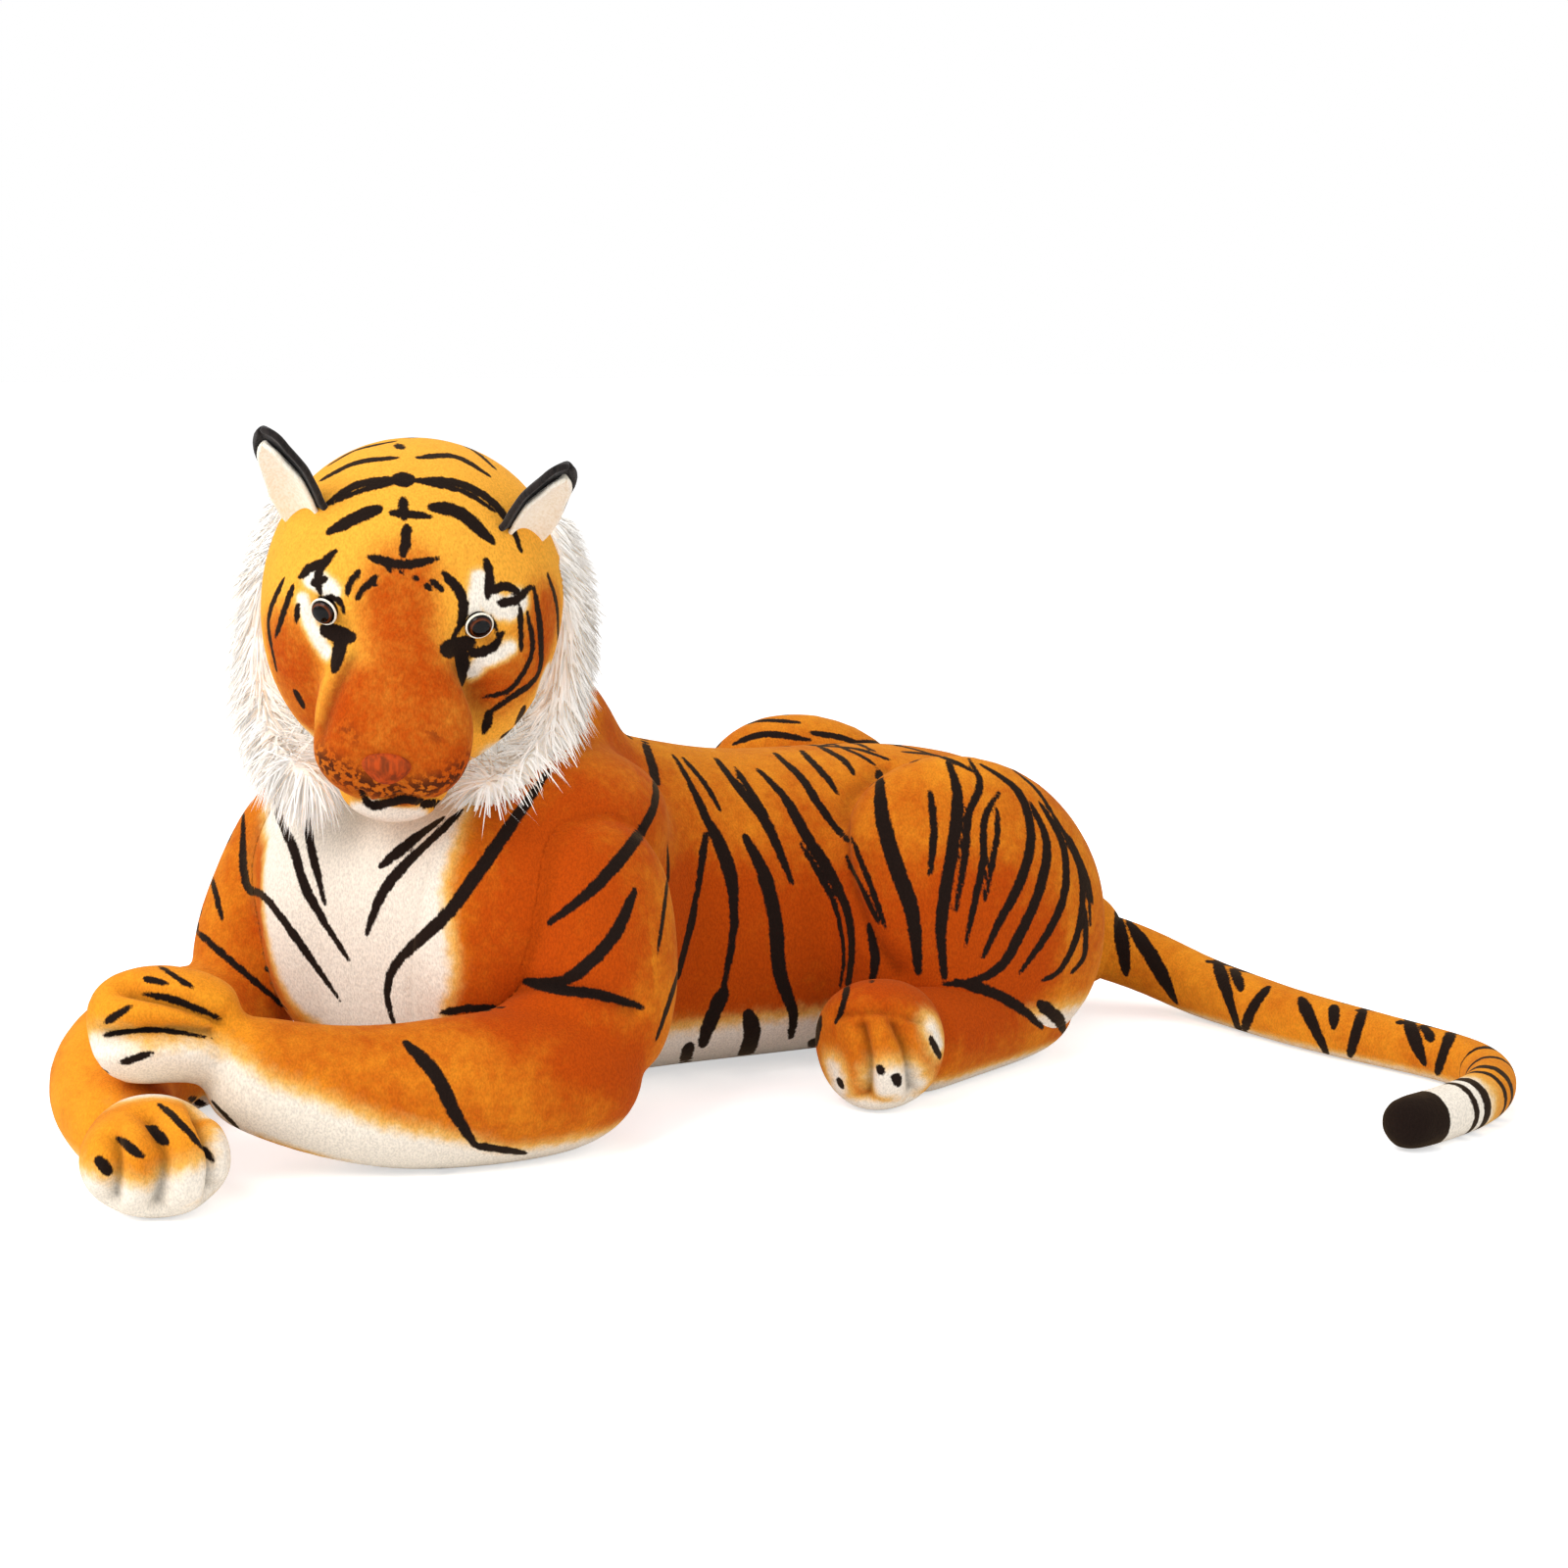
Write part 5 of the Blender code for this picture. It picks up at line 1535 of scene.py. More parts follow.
@dataclass
class Foreleg:
    """One whole foreleg that grows out of the shoulder.

    Each leg has rows for its upper arm, forearm and paw. A row holds its place in the chest's
    frame, as shares of spread, reach and height, and two half sizes as shares of the thickness.
    """

    side: Side
    trunk: bpy.types.Object
    spread: float = 133.0 * MM
    reach: float = 262.0 * MM
    arm_height: float = 206.0 * MM
    thickness: float = 98.0 * MM
    left: tuple = (
        (
            (0.80, -0.12, 0.985, 0.30, 0.30), (0.86, -0.13, 0.86, 0.44, 0.54),
            (0.93, -0.14, 0.62, 0.52, 0.60), (0.98, -0.18, 0.36, 0.50, 0.55),
            (1.00, -0.24, 0.20, 0.40, 0.42),
        ),
        (
            (1.02, -0.12, 0.50, 0.30, 0.30), (1.02, -0.26, 0.50, 0.50, 0.49),
            (0.86, -0.46, 0.49, 0.50, 0.49), (0.54, -0.66, 0.45, 0.44, 0.45),
            (0.20, -0.83, 0.60, 0.36, 0.37), (0.02, -0.93, 0.78, 0.32, 0.33),
        ),
        (
            (0.10, -0.88, 0.84, 0.30, 0.30), (-0.04, -0.95, 0.95, 0.37, 0.35),
            (-0.18, -1.01, 0.96, 0.42, 0.37), (-0.30, -1.06, 0.92, 0.38, 0.33),
            (-0.37, -1.08, 0.89, 0.24, 0.20),
        ),
    )
    right: tuple = (
        (
            (-0.78, -0.10, 0.985, 0.30, 0.30), (-0.89, -0.12, 0.84, 0.46, 0.52),
            (-0.95, -0.18, 0.62, 0.50, 0.56), (-0.96, -0.28, 0.40, 0.48, 0.52),
            (-0.92, -0.36, 0.24, 0.36, 0.40),
        ),
        (
            (-0.93, -0.26, 0.48, 0.32, 0.32), (-0.95, -0.44, 0.49, 0.49, 0.48),
            (-0.94, -0.68, 0.48, 0.49, 0.48), (-0.76, -0.88, 0.42, 0.43, 0.42),
            (-0.42, -1.00, 0.33, 0.34, 0.33), (-0.10, -1.08, 0.31, 0.31, 0.31),
        ),
        (
            (-0.14, -1.07, 0.32, 0.30, 0.29), (0.01, -1.11, 0.33, 0.40, 0.33),
            (0.17, -1.16, 0.34, 0.46, 0.34), (0.28, -1.22, 0.32, 0.43, 0.32),
            (0.34, -1.27, 0.28, 0.26, 0.20),
        ),
    )
    shoulder_height: float = 140.0 * MM
    shoulder_forward: float = 36.0 * MM
    bend_start: tuple = (0.100, -0.020, 0.200)
    bend_end: tuple = (0.120, -0.060, 0.085)
    voxel: float = 4.5 * MM
    rounds: int = 5
    # How far the copied trunk is drawn in, from which distances to the shoulder's line and
    # across the middle on
    slimmed: float = 0.016
    slim_reach: tuple = (0.060, 0.095)
    slim_middle: tuple = (-0.055, -0.035)
    # Where the valley between leg and trunk is smoothed: gap to the trunk, distance to the line
    valley_gap: tuple = (0.018, 0.040)
    valley_reach: tuple = (0.085, 0.125)
    valley_rounds: int = 90
    # Where the edge runs out onto the trunk, and how deep its rim then turns inwards
    edge_reach: tuple = (0.095, 0.135)
    run_out: float = 18.0 * MM
    cut_gap: float = 0.5 * MM
    hidden_depth: float = 14.0 * MM
    hidden_steps: tuple = (0.12, 0.30, 0.58)
    # How far from the trunk the skin is lit as the trunk is
    lit_reach: tuple = (0.001, 0.014)
    lit_touching: float = 1.2 * MM
    skin: bpy.types.Object = None

    def from_shoulder(self, local: np.ndarray) -> np.ndarray:
        """Distance of points in the chest's frame from the line through both shoulders."""
        return np.hypot(local[:, 1] + self.shoulder_forward, local[:, 2] - self.shoulder_height)

    def slimmed_trunk(self) -> bpy.types.Object:
        """Copy of the trunk, drawn in except about this shoulder.

        Returns:
            The copy.
        """
        core = link("core", self.trunk.data.copy())
        points = get_points(core)
        local = into(SPINE.front(), points)
        far = np.maximum(
            smoothstep(self.from_shoulder(local), *self.slim_reach),
            smoothstep(-self.side.sign * local[:, 0], *self.slim_middle),
        )
        set_points(core, points - get_normals(core) * (far * self.slimmed)[:, None])
        return core

    def build(self) -> None:
        """Fuse the leg with a slimmed trunk, then keep what stands out of the real one."""
        front = SPINE.front()
        arm_rows, forearm_rows, paw_rows = self.left if self.side is Side.LEFT else self.right
        size = self.thickness
        along = front.to_3x3() @ AHEAD
        arm = limb(arm_rows, (self.spread, self.reach, self.arm_height), size, along, front)
        lower = (self.spread, self.reach, size)
        forearm = on_floor(limb(forearm_rows, lower, size, UP, front))
        paw = limb(paw_rows, lower, size, UP, front)
        if self.side is Side.RIGHT:
            on_floor(paw)
        forms = [arm, forearm, paw, self.slimmed_trunk()]
        self.skin = fuse("foreleg_" + self.side.value, forms, self.voxel, self.rounds, 0)
        points = get_points(self.skin)
        near = 1.0 - smoothstep(np.abs(gaps_to(points, tree_of(self.trunk))[0]), *self.valley_gap)
        near *= 1.0 - smoothstep(self.from_shoulder(into(front, points)), *self.valley_reach)
        rounded(soften(self.skin, near, self.valley_rounds))
        self.keep_outside()
        rest_on_floor(self.skin)

    def keep_outside(self) -> None:
        """Run the skin out onto the trunk, cut away what lies in it and turn the rim inwards."""
        points, normals = get_points(self.skin), get_normals(self.skin)
        outside, inward = gaps_to(points, tree_of(self.trunk))
        share = 1.0 - smoothstep(self.from_shoulder(into(SPINE.front(), points)), *self.edge_reach)
        share *= smoothstep(-(normals * inward).sum(1), 0.0, 0.4)
        sunk = np.clip(outside, 0.0, None) * (1.0 - smoothstep(outside, 0.0, self.run_out)) * share
        set_points(self.skin, points + inward * sunk[:, None])
        outside = outside - sunk
        build = bmesh.new()
        build.from_mesh(self.skin.data)
        layer = build.verts.layers.int.new("row")
        for vertex in build.verts:
            vertex[layer] = vertex.index
        doomed = [v for v in build.verts if outside[v.index] < self.cut_gap]
        bmesh.ops.delete(build, geom=doomed, context="VERTS")
        self.keep_largest(build)
        rim = [edge for edge in build.edges if edge.is_boundary]
        for step in self.hidden_steps:
            grown = bmesh.ops.extrude_edge_only(build, edges=rim)["geom"]
            rim = [item for item in grown if isinstance(item, bmesh.types.BMEdge)]
            for item in grown:
                if isinstance(item, bmesh.types.BMVert):
                    item.co += Vector(inward[item[layer]]) * (self.hidden_depth * step)
        bmesh.ops.holes_fill(build, edges=rim, sides=0)
        bmesh.ops.triangulate(build, faces=[f for f in build.faces if len(f.verts) > 4])
        bmesh.ops.recalc_face_normals(build, faces=build.faces)
        build.verts.layers.int.remove(layer)
        build.to_mesh(self.skin.data)
        build.free()

    @staticmethod
    def keep_largest(build: bmesh.types.BMesh) -> None:
        """Delete all but the largest connected patch.

        Args:
            build: mesh that is being cut.
        """
        seen, best = set(), []
        for start in build.verts:
            if start in seen:
                continue
            group = [start]
            seen.add(start)
            for vertex in group:
                for edge in vertex.link_edges:
                    other = edge.other_vert(vertex)
                    if other not in seen:
                        seen.add(other)
                        group.append(other)
            best = max(best, group, key=len)
        kept = set(best)
        bmesh.ops.delete(build, geom=[v for v in build.verts if v not in kept], context="VERTS")

    def calm_seam(self) -> None:
        """Light the skin near its seam as the trunk is lit, so that both read as one cloth."""
        tree, cloth = tree_of(self.trunk), self.trunk.data.polygons
        places, theirs = get_points(self.trunk), get_normals(self.trunk)
        normals = get_normals(self.skin)
        mixed = normals.copy()
        for row, place in enumerate(get_points(self.skin)):
            near, _, face, gap = tree.find_nearest(Vector(place), 0.016)
            if near is None:
                continue
            corners = list(cloth[face].vertices)
            weights = 1.0 / (np.linalg.norm(places[corners] - np.array(near), axis=1) + 0.1 * MM)
            normal = (theirs[corners] * weights[:, None]).sum(0) / weights.sum()
            share = 1.0 - float(smoothstep(np.array(gap), *self.lit_reach))
            if gap > self.lit_touching:
                share *= float(smoothstep(normal @ normals[row], 0.3, 0.8))
            mixed[row] = normals[row] * (1.0 - share) + normal * share
        mixed /= np.linalg.norm(mixed, axis=1)[:, None]
        self.skin.data.normals_split_custom_set_from_vertices(mixed.tolist())

    def dress(self, wardrobe: Wardrobe) -> None:
        """Finish it and light its seam as the trunk is lit.

        Args:
            wardrobe: all materials.
        """
        label = self.side.value
        nodes = [kind + "_" + label for kind in ("upper_arm", "forearm", "forepaw")]
        finish_piece(self.skin, wardrobe.plush, "orange_plush", "", *nodes, fill=0.9)
        self.calm_seam()
        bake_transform(self.skin)


@dataclass
class HindLeg:
    """Lower hind leg and foot that come out from under a haunch, in rows like a foreleg's."""

    side: Side
    spread: float = 180.0 * MM
    reach: float = 275.0 * MM
    thickness: float = 78.0 * MM
    shank: tuple = (
        (0.56, 1.00, 0.44, 0.26, 0.24), (0.60, 0.92, 0.46, 0.44, 0.44), (0.72, 0.70, 0.48, 0.49, 0.485),
        (0.87, 0.50, 0.46, 0.46, 0.465), (0.96, 0.40, 0.46, 0.42, 0.44),
    )
    foot: tuple = (
        (0.95, 0.47, 0.50, 0.40, 0.42), (0.99, 0.39, 0.55, 0.52, 0.55), (1.02, 0.31, 0.56, 0.55, 0.565),
        (1.04, 0.25, 0.54, 0.46, 0.48), (1.05, 0.22, 0.53, 0.28, 0.29),
    )
    voxel: float = 4.0 * MM
    rounds: int = 6
    skin: bpy.types.Object = None

    def build(self) -> None:
        """Fuse shank and foot."""
        scale = (self.side.sign * self.spread, self.reach, self.thickness)
        forms = [on_floor(limb(rows, scale, self.thickness, UP)) for rows in (self.shank, self.foot)]
        fused = fuse("hind_leg_" + self.side.value, forms, self.voxel, self.rounds)
        self.skin = rest_on_floor(fused)

    def dress(self, wardrobe: Wardrobe) -> None:
        """Finish and ride.

        Args:
            wardrobe: all materials.
        """
        label = self.side.value
        nodes = ["hind_shank_" + label, "hind_foot_" + label]
        body = "hind_leg_" + label
        finish_piece(self.skin, wardrobe.plush, "orange_plush", body, *nodes, fill=0.9)


# Head


@dataclass
class Head:
    """Skull, muzzle and jaw as one stuffed skin, and the nose.

    A row of the skull or muzzle holds shares of the reach, half width, top and bottom.
    """

    half_width: float = 94.0 * MM
    half_height: float = 96.0 * MM
    reach: float = 90.0 * MM
    skull: tuple = (
        (-1.00, 0.48, 0.22, -0.72), (-0.82, 0.78, 0.56, -0.93), (-0.50, 0.95, 0.88, -1.00),
        (-0.08, 1.00, 1.00, -0.98), (0.35, 0.96, 0.95, -0.86), (0.75, 0.78, 0.78, -0.66),
        (1.00, 0.42, 0.40, -0.34),
    )
    muzzle_half_width: float = 50.0 * MM
    muzzle_reach: float = 138.0 * MM
    muzzle_height: float = 80.0 * MM
    muzzle: tuple = (
        (1.00, 0.58, -0.26, -0.76), (0.91, 0.97, -0.06, -0.95), (0.74, 1.00, 0.30, -0.96),
        (0.50, 0.84, 0.62, -0.92), (0.25, 0.66, 0.70, -0.85),
    )
    jaw_place: tuple = (0.0, -91.0 * MM, -78.0 * MM)
    jaw_halves: tuple = (34.0 * MM, 36.0 * MM, 17.0 * MM)
    nose_place: tuple = (0.0, -138.0 * MM, -37.0 * MM)
    nose_halves: tuple = (14.0 * MM, 7.0 * MM, 10.0 * MM)
    # The nose pad grows wider upwards by this share, and has a dip on each side: its place across
    # and below the middle and its radius, in shares of the pad
    nose_widening: float = 0.28
    nostril: tuple = (0.62, 0.25)
    nostril_radius: float = 0.30
    nostril_depth: float = 2.6 * MM
    voxel: float = 3.2 * MM
    rounds: int = 10
    skin: bpy.types.Object = None
    nose: bpy.types.Object = None

    @staticmethod
    def stations(rows: tuple, reach: float, width: float, height: float, sides: int) -> bpy.types.Object:
        """Form through upright sections along the head's Y.

        Args:
            rows: (place, half width, top, bottom) each, as shares of the sizes.
            reach: size along the head's Y.
            width: size across.
            height: size upwards.
            sides: corners of each section.

        Returns:
            The form.
        """
        rings = []
        for along, half, top, bottom in rows:
            place = Vector((0.0, along * reach, 0.0))
            rings.append(upright(place, ACROSS, half * width, top * height, bottom * height))
        return loft("stations", rings, sides)

    def shares(self, points: np.ndarray) -> np.ndarray:
        """Places as shares of the skull's half sizes: across, back and up."""
        return into(SPINE.head(), points) / (self.half_width, self.reach, self.half_height)

    def build(self) -> None:
        """Fuse the forms of the head, and make the nose pad with a dip on each side."""
        skull = self.stations(self.skull, self.reach, self.half_width, self.half_height, 10)
        size = (-self.muzzle_reach, self.muzzle_half_width, self.muzzle_height)
        forms = [skull, self.stations(self.muzzle, *size, 8), egg("jaw", self.jaw_place, self.jaw_halves)]
        for form in forms:
            move(form, SPINE.head())
        self.skin = fuse("head_skin_plush", forms, self.voxel, self.rounds)
        self.nose = egg("nose", self.nose_place, self.nose_halves)
        points = get_points(self.nose)
        local = (points - np.array(self.nose_place)) / np.array(self.nose_halves)
        points[:, 0] *= 1.0 + self.nose_widening * np.clip(local[:, 2], -1.0, 1.0)
        beside, below = self.nostril
        for side in Side:
            gap = np.hypot(local[:, 0] - side.sign * beside, local[:, 2] + below)
            points[:, 1] += self.nostril_depth * np.exp(-((gap / self.nostril_radius) ** 2))
        set_points(self.nose, points)
        rounded(move(self.nose, SPINE.head()))

    def dress(self, wardrobe: Wardrobe) -> None:
        """Finish and ride.

        Args:
            wardrobe: all materials.
        """
        nodes = ("head_skin", "head_filling", "muzzle", "lower_jaw")
        finish_piece(self.skin, wardrobe.head, "orange_plush", "head", *nodes, fill=0.9)
        finish_piece(self.nose, wardrobe.nose, "nose_plush", "head", "nose_pad")


@dataclass
class Eye:
    """Glossy domed eye on the solid eye's place, with a lid ring round it."""

    side: Side
    radius: float = 7.5 * MM
    bulge: float = 5.0 * MM
    sunk: float = -4.0 * MM
    outward_turn: float = 22.0 * DEG
    rings: int = 14
    segments: int = 40
    # Size of the lid, its half width and half height as shares of it, and its gap to the dome
    lid: float = 1.1 * MM
    lid_width: float = 0.62
    lid_height: float = 0.7
    lid_gap: float = 0.4 * MM
    lid_segments: int = 36
    lid_sides: int = 10
    dome: bpy.types.Object = None
    rim: bpy.types.Object = None

    def place(self) -> Matrix:
        """Frame whose Z looks out of the eye, from the solid eye's mesh.

        Returns:
            The frame.
        """
        turn = self.outward_turn
        axis = Vector((self.side.sign * math.sin(turn), -math.cos(turn), 0.0))
        axis = SPINE.head().to_3x3() @ axis
        points = get_points(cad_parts["eye_" + self.side.value])
        top = Vector(points[(points @ np.array(axis)).argmax()])
        turned = axis.to_track_quat("Z", "Y").to_matrix().to_4x4()
        return Matrix.Translation(top - axis * self.bulge) @ turned

    def build(self) -> None:
        """Dome that runs on into the head, and the lid."""
        turns = [ring / self.rings * math.pi / 2.0 for ring in range(1, self.rings + 1)]
        levels = [(math.sin(turn), self.bulge * math.cos(turn)) for turn in turns] + [(1.0, self.sunk)]
        points, shares = [(0.0, 0.0, self.bulge)], [0.0]
        for out, height in levels:
            reach = self.radius * out
            for step in range(self.segments):
                angle = math.tau * step / self.segments
                points.append((reach * math.cos(angle), reach * math.sin(angle), height))
                shares.append(out)
        faces = [(0, 1 + step, 1 + (step + 1) % self.segments) for step in range(self.segments)]
        faces += [(a, d, c, b) for a, b, c, d in bands(len(levels), self.segments, 1)]
        faces.append(tuple(reversed(range(len(points) - self.segments, len(points)))))
        self.dome = made("eye_dome_" + self.side.value, points, faces)
        add_float(self.dome, "ring", np.array(shares))
        points = []
        for step in range(self.lid_segments):
            angle = math.tau * step / self.lid_segments
            for part in range(self.lid_sides):
                turn = math.tau * part / self.lid_sides
                out = self.radius + self.lid_gap + self.lid * self.lid_width * math.cos(turn)
                height = self.lid * self.lid_height * math.sin(turn)
                points.append((out * math.cos(angle), out * math.sin(angle), height))
        quads = bands(self.lid_segments, self.lid_sides, closed=True)
        faces = [(a, d, c, b) for a, b, c, d in quads]
        self.rim = made("eye_lid_" + self.side.value, points, faces)
        for obj in (self.dome, self.rim):
            move(obj, self.place())

    def dress(self, wardrobe: Wardrobe) -> None:
        """Finish and ride.

        Args:
            wardrobe: all materials.
        """
        nodes = ["eye_" + self.side.value, "eye_washer_" + self.side.value]
        finish_piece(self.dome, wardrobe.eye, "eye_plastic", "head", *nodes)
        finish_piece(self.rim, wardrobe.inner, "white_plush", "head")


@dataclass
class Ear:
    """Cupped ear: black back with a rolled rim, pale lining in the cup."""

    side: Side
    height: float = 58.0 * MM
    half_width: float = 24.0 * MM
    cup: float = 9.0 * MM
    spread: float = 65.0 * MM
    forward: float = 20.0 * MM
    base_height: float = 61.0 * MM
    lean: float = 48.0 * DEG
    opening_left: float = 43.0 * DEG
    opening_right: float = 34.0 * DEG
    skew: float = 0.60
    widths: tuple = (0.74, 0.98, 1.00, 0.72, 0.16)
    # From this share of the height on, the outline is a quarter of an oval
    round_from: float = 0.75
    round_width: float = 0.72
    least_half: float = 0.6 * MM
    # How much lower an inset leaf ends, and over which share of a half wave the cup runs
    inset_drop: float = 1.6
    cup_wave: float = 0.86
    rows: int = 16
    columns: int = 14
    foot: float = -12.0 * MM
    # Inset of the edge, shift of the middle line outwards, distance in front, and thickness
    back_leaf: tuple = (0.0, 0.0, 0.0, 4.2 * MM)
    lining_leaf: tuple = (4.6 * MM, 2.8 * MM, 2.6 * MM, 3.2 * MM)
    back: bpy.types.Object = None
    lining: bpy.types.Object = None

    def place(self) -> Matrix:
        """Frame of the ear, Z to its tip.

        Returns:
            The frame.
        """
        sign = self.side.sign
        shift = Matrix.Translation((sign * self.spread, -self.forward, self.base_height))
        opening = self.opening_left if self.side is Side.LEFT else self.opening_right
        lean = Matrix.Rotation(sign * self.lean, 4, "Y")
        return SPINE.head() @ shift @ lean @ Matrix.Rotation(sign * opening, 4, "Z")

    def leaf(
        self, name: str, inset: float, shift: float, front: float, thickness: float
    ) -> bpy.types.Object:
        """Closed cupped leaf.

        Args:
            name: name of the leaf.
            inset: how far its edge is drawn in.
            shift: how far its middle line lies outwards.
            front: how far its middle surface lies in front of the ear's.
            thickness: its full thickness.

        Returns:
            The leaf in the frame of the model.
        """
        sign, points, faces = self.side.sign, [], []
        knots = np.linspace(0.0, 1.0, len(self.widths))
        for row in range(self.rows + 1):
            share = row / self.rows
            half = float(np.interp(share, knots, self.widths)) * self.half_width
            if share > self.round_from:
                past = (share - self.round_from) / (1.0 - self.round_from)
                half = self.half_width * self.round_width * math.sqrt(max(1.0 - past**2, 0.0))
            half = max(half - inset, self.least_half)
            up = self.foot + (self.height - self.foot) * share - inset * share * self.inset_drop
            for column in range(self.columns + 1):
                across = 2.0 * column / self.columns - 1.0
                cup = self.cup * (1.0 - across * across)
                cup *= math.sin(math.pi * min(share + 0.1, 1.0) * self.cup_wave)
                over = across * half + sign * min(shift, half) - sign * self.skew * max(up, 0.0)
                points.append((over, cup - front, up))
        width = self.columns + 1
        for low in range(self.rows * width):
            if low % width < self.columns:
                faces.append((low, low + 1, low + width + 1, low + width))
        obj = modify(made(name, points, faces), "SOLIDIFY", thickness=thickness, offset=0.0)
        return move(rounded(obj), self.place())

    def build(self) -> None:
        """Back and lining."""
        self.back = self.leaf("ear_back_plush_" + self.side.value, *self.back_leaf)
        self.lining = self.leaf("ear_inner_" + self.side.value, *self.lining_leaf)

    def dress(self, wardrobe: Wardrobe) -> None:
        """Finish and ride.

        Args:
            wardrobe: all materials.
        """
        label = self.side.value
        body = "ear_" + label
        finish_piece(self.back, wardrobe.black, "black_plush", body, "ear_back_" + label)
        finish_piece(self.lining, wardrobe.inner, "white_plush", body, "ear_lining_" + label)


# Long pile


def spikes(
    name: str,
    roots: np.ndarray,
    headings: np.ndarray,
    droops: np.ndarray,
    lengths: np.ndarray,
    widths: np.ndarray,
    tints: np.ndarray,
    segments: int = 3,
) -> bpy.types.Object:
    """Many closed, tapering three-sided locks in one mesh.

    Args:
        name: name of the object.
        roots: where each lock starts.
        headings: unit direction at its root.
        droops: how it bends along its length, as a vector for the tip.
        lengths: its length.
        widths: its half width at the root.
        tints: number of its material slot.
        segments: stretches between root and tip.

    Returns:
        The object with the slots' numbers set, without materials.
    """
    side = np.cross(headings, np.array([0.31, 0.17, 0.93]))
    side /= np.linalg.norm(side, axis=1)[:, None]
    other = np.cross(headings, side)
    tip = segments * 3
    points = np.zeros((len(roots), tip + 1, 3))
    for ring in range(segments):
        share = ring / segments
        centre = roots + headings * (lengths * share)[:, None] + droops * share**1.6
        half = (widths * (1.0 - share) ** 0.75)[:, None]
        for corner in range(3):
            angle = math.tau * corner / 3.0
            out = side * math.cos(angle) + other * math.sin(angle) * 0.6
            points[:, ring * 3 + corner] = centre + out * half
    points[:, tip] = roots + headings * lengths[:, None] + droops
    shape = [(0, 2, 1), *bands(segments, 3)]
    shape += [(tip - 3 + corner, tip - 3 + (corner + 1) % 3, tip) for corner in range(3)]
    starts = range(0, len(roots) * (tip + 1), tip + 1)
    faces = [tuple(start + v for v in face) for start in starts for face in shape]
    obj = made(name, points.reshape(-1, 3), faces)
    slots = np.repeat(tints.astype(np.int32), len(shape))
    obj.data.polygons.foreach_set("material_index", slots)
    return obj


def even_shading(obj: bpy.types.Object, normals: np.ndarray) -> None:
    """Light every lock as the surface it grows on, so that pile looks soft.

    Args:
        obj: locks made by spikes, all with the same number of points.
        normals: one direction per lock.
    """
    normals = normals / np.linalg.norm(normals, axis=1)[:, None]
    per = len(obj.data.vertices) // len(normals)
    obj.data.shade_smooth()
    obj.data.normals_split_custom_set_from_vertices(np.repeat(normals, per, axis=0).tolist())


def scatter(obj: bpy.types.Object, count: int, rng: np.random.Generator) -> tuple:
    """Random points on a surface, evenly by area, with their normals.

    Args:
        obj: mesh object.
        count: how many points.
        rng: source of the random numbers.

    Returns:
        Places and unit normals as rows.
    """
    obj.data.calc_loop_triangles()
    corners = np.empty(len(obj.data.loop_triangles) * 3, np.int32)
    obj.data.loop_triangles.foreach_get("vertices", corners)
    a, b, c = (get_points(obj)[corners[start::3]] for start in range(3))
    cross = np.cross(b - a, c - a)
    area = np.linalg.norm(cross, axis=1)
    picked = rng.choice(len(area), count, p=area / area.sum())
    r = np.sqrt(rng.random(count))[:, None]
    t = rng.random(count)[:, None]
    places = a[picked] * (1.0 - r) + b[picked] * r * (1.0 - t) + c[picked] * r * t
    return places, cross[picked] / area[picked][:, None]


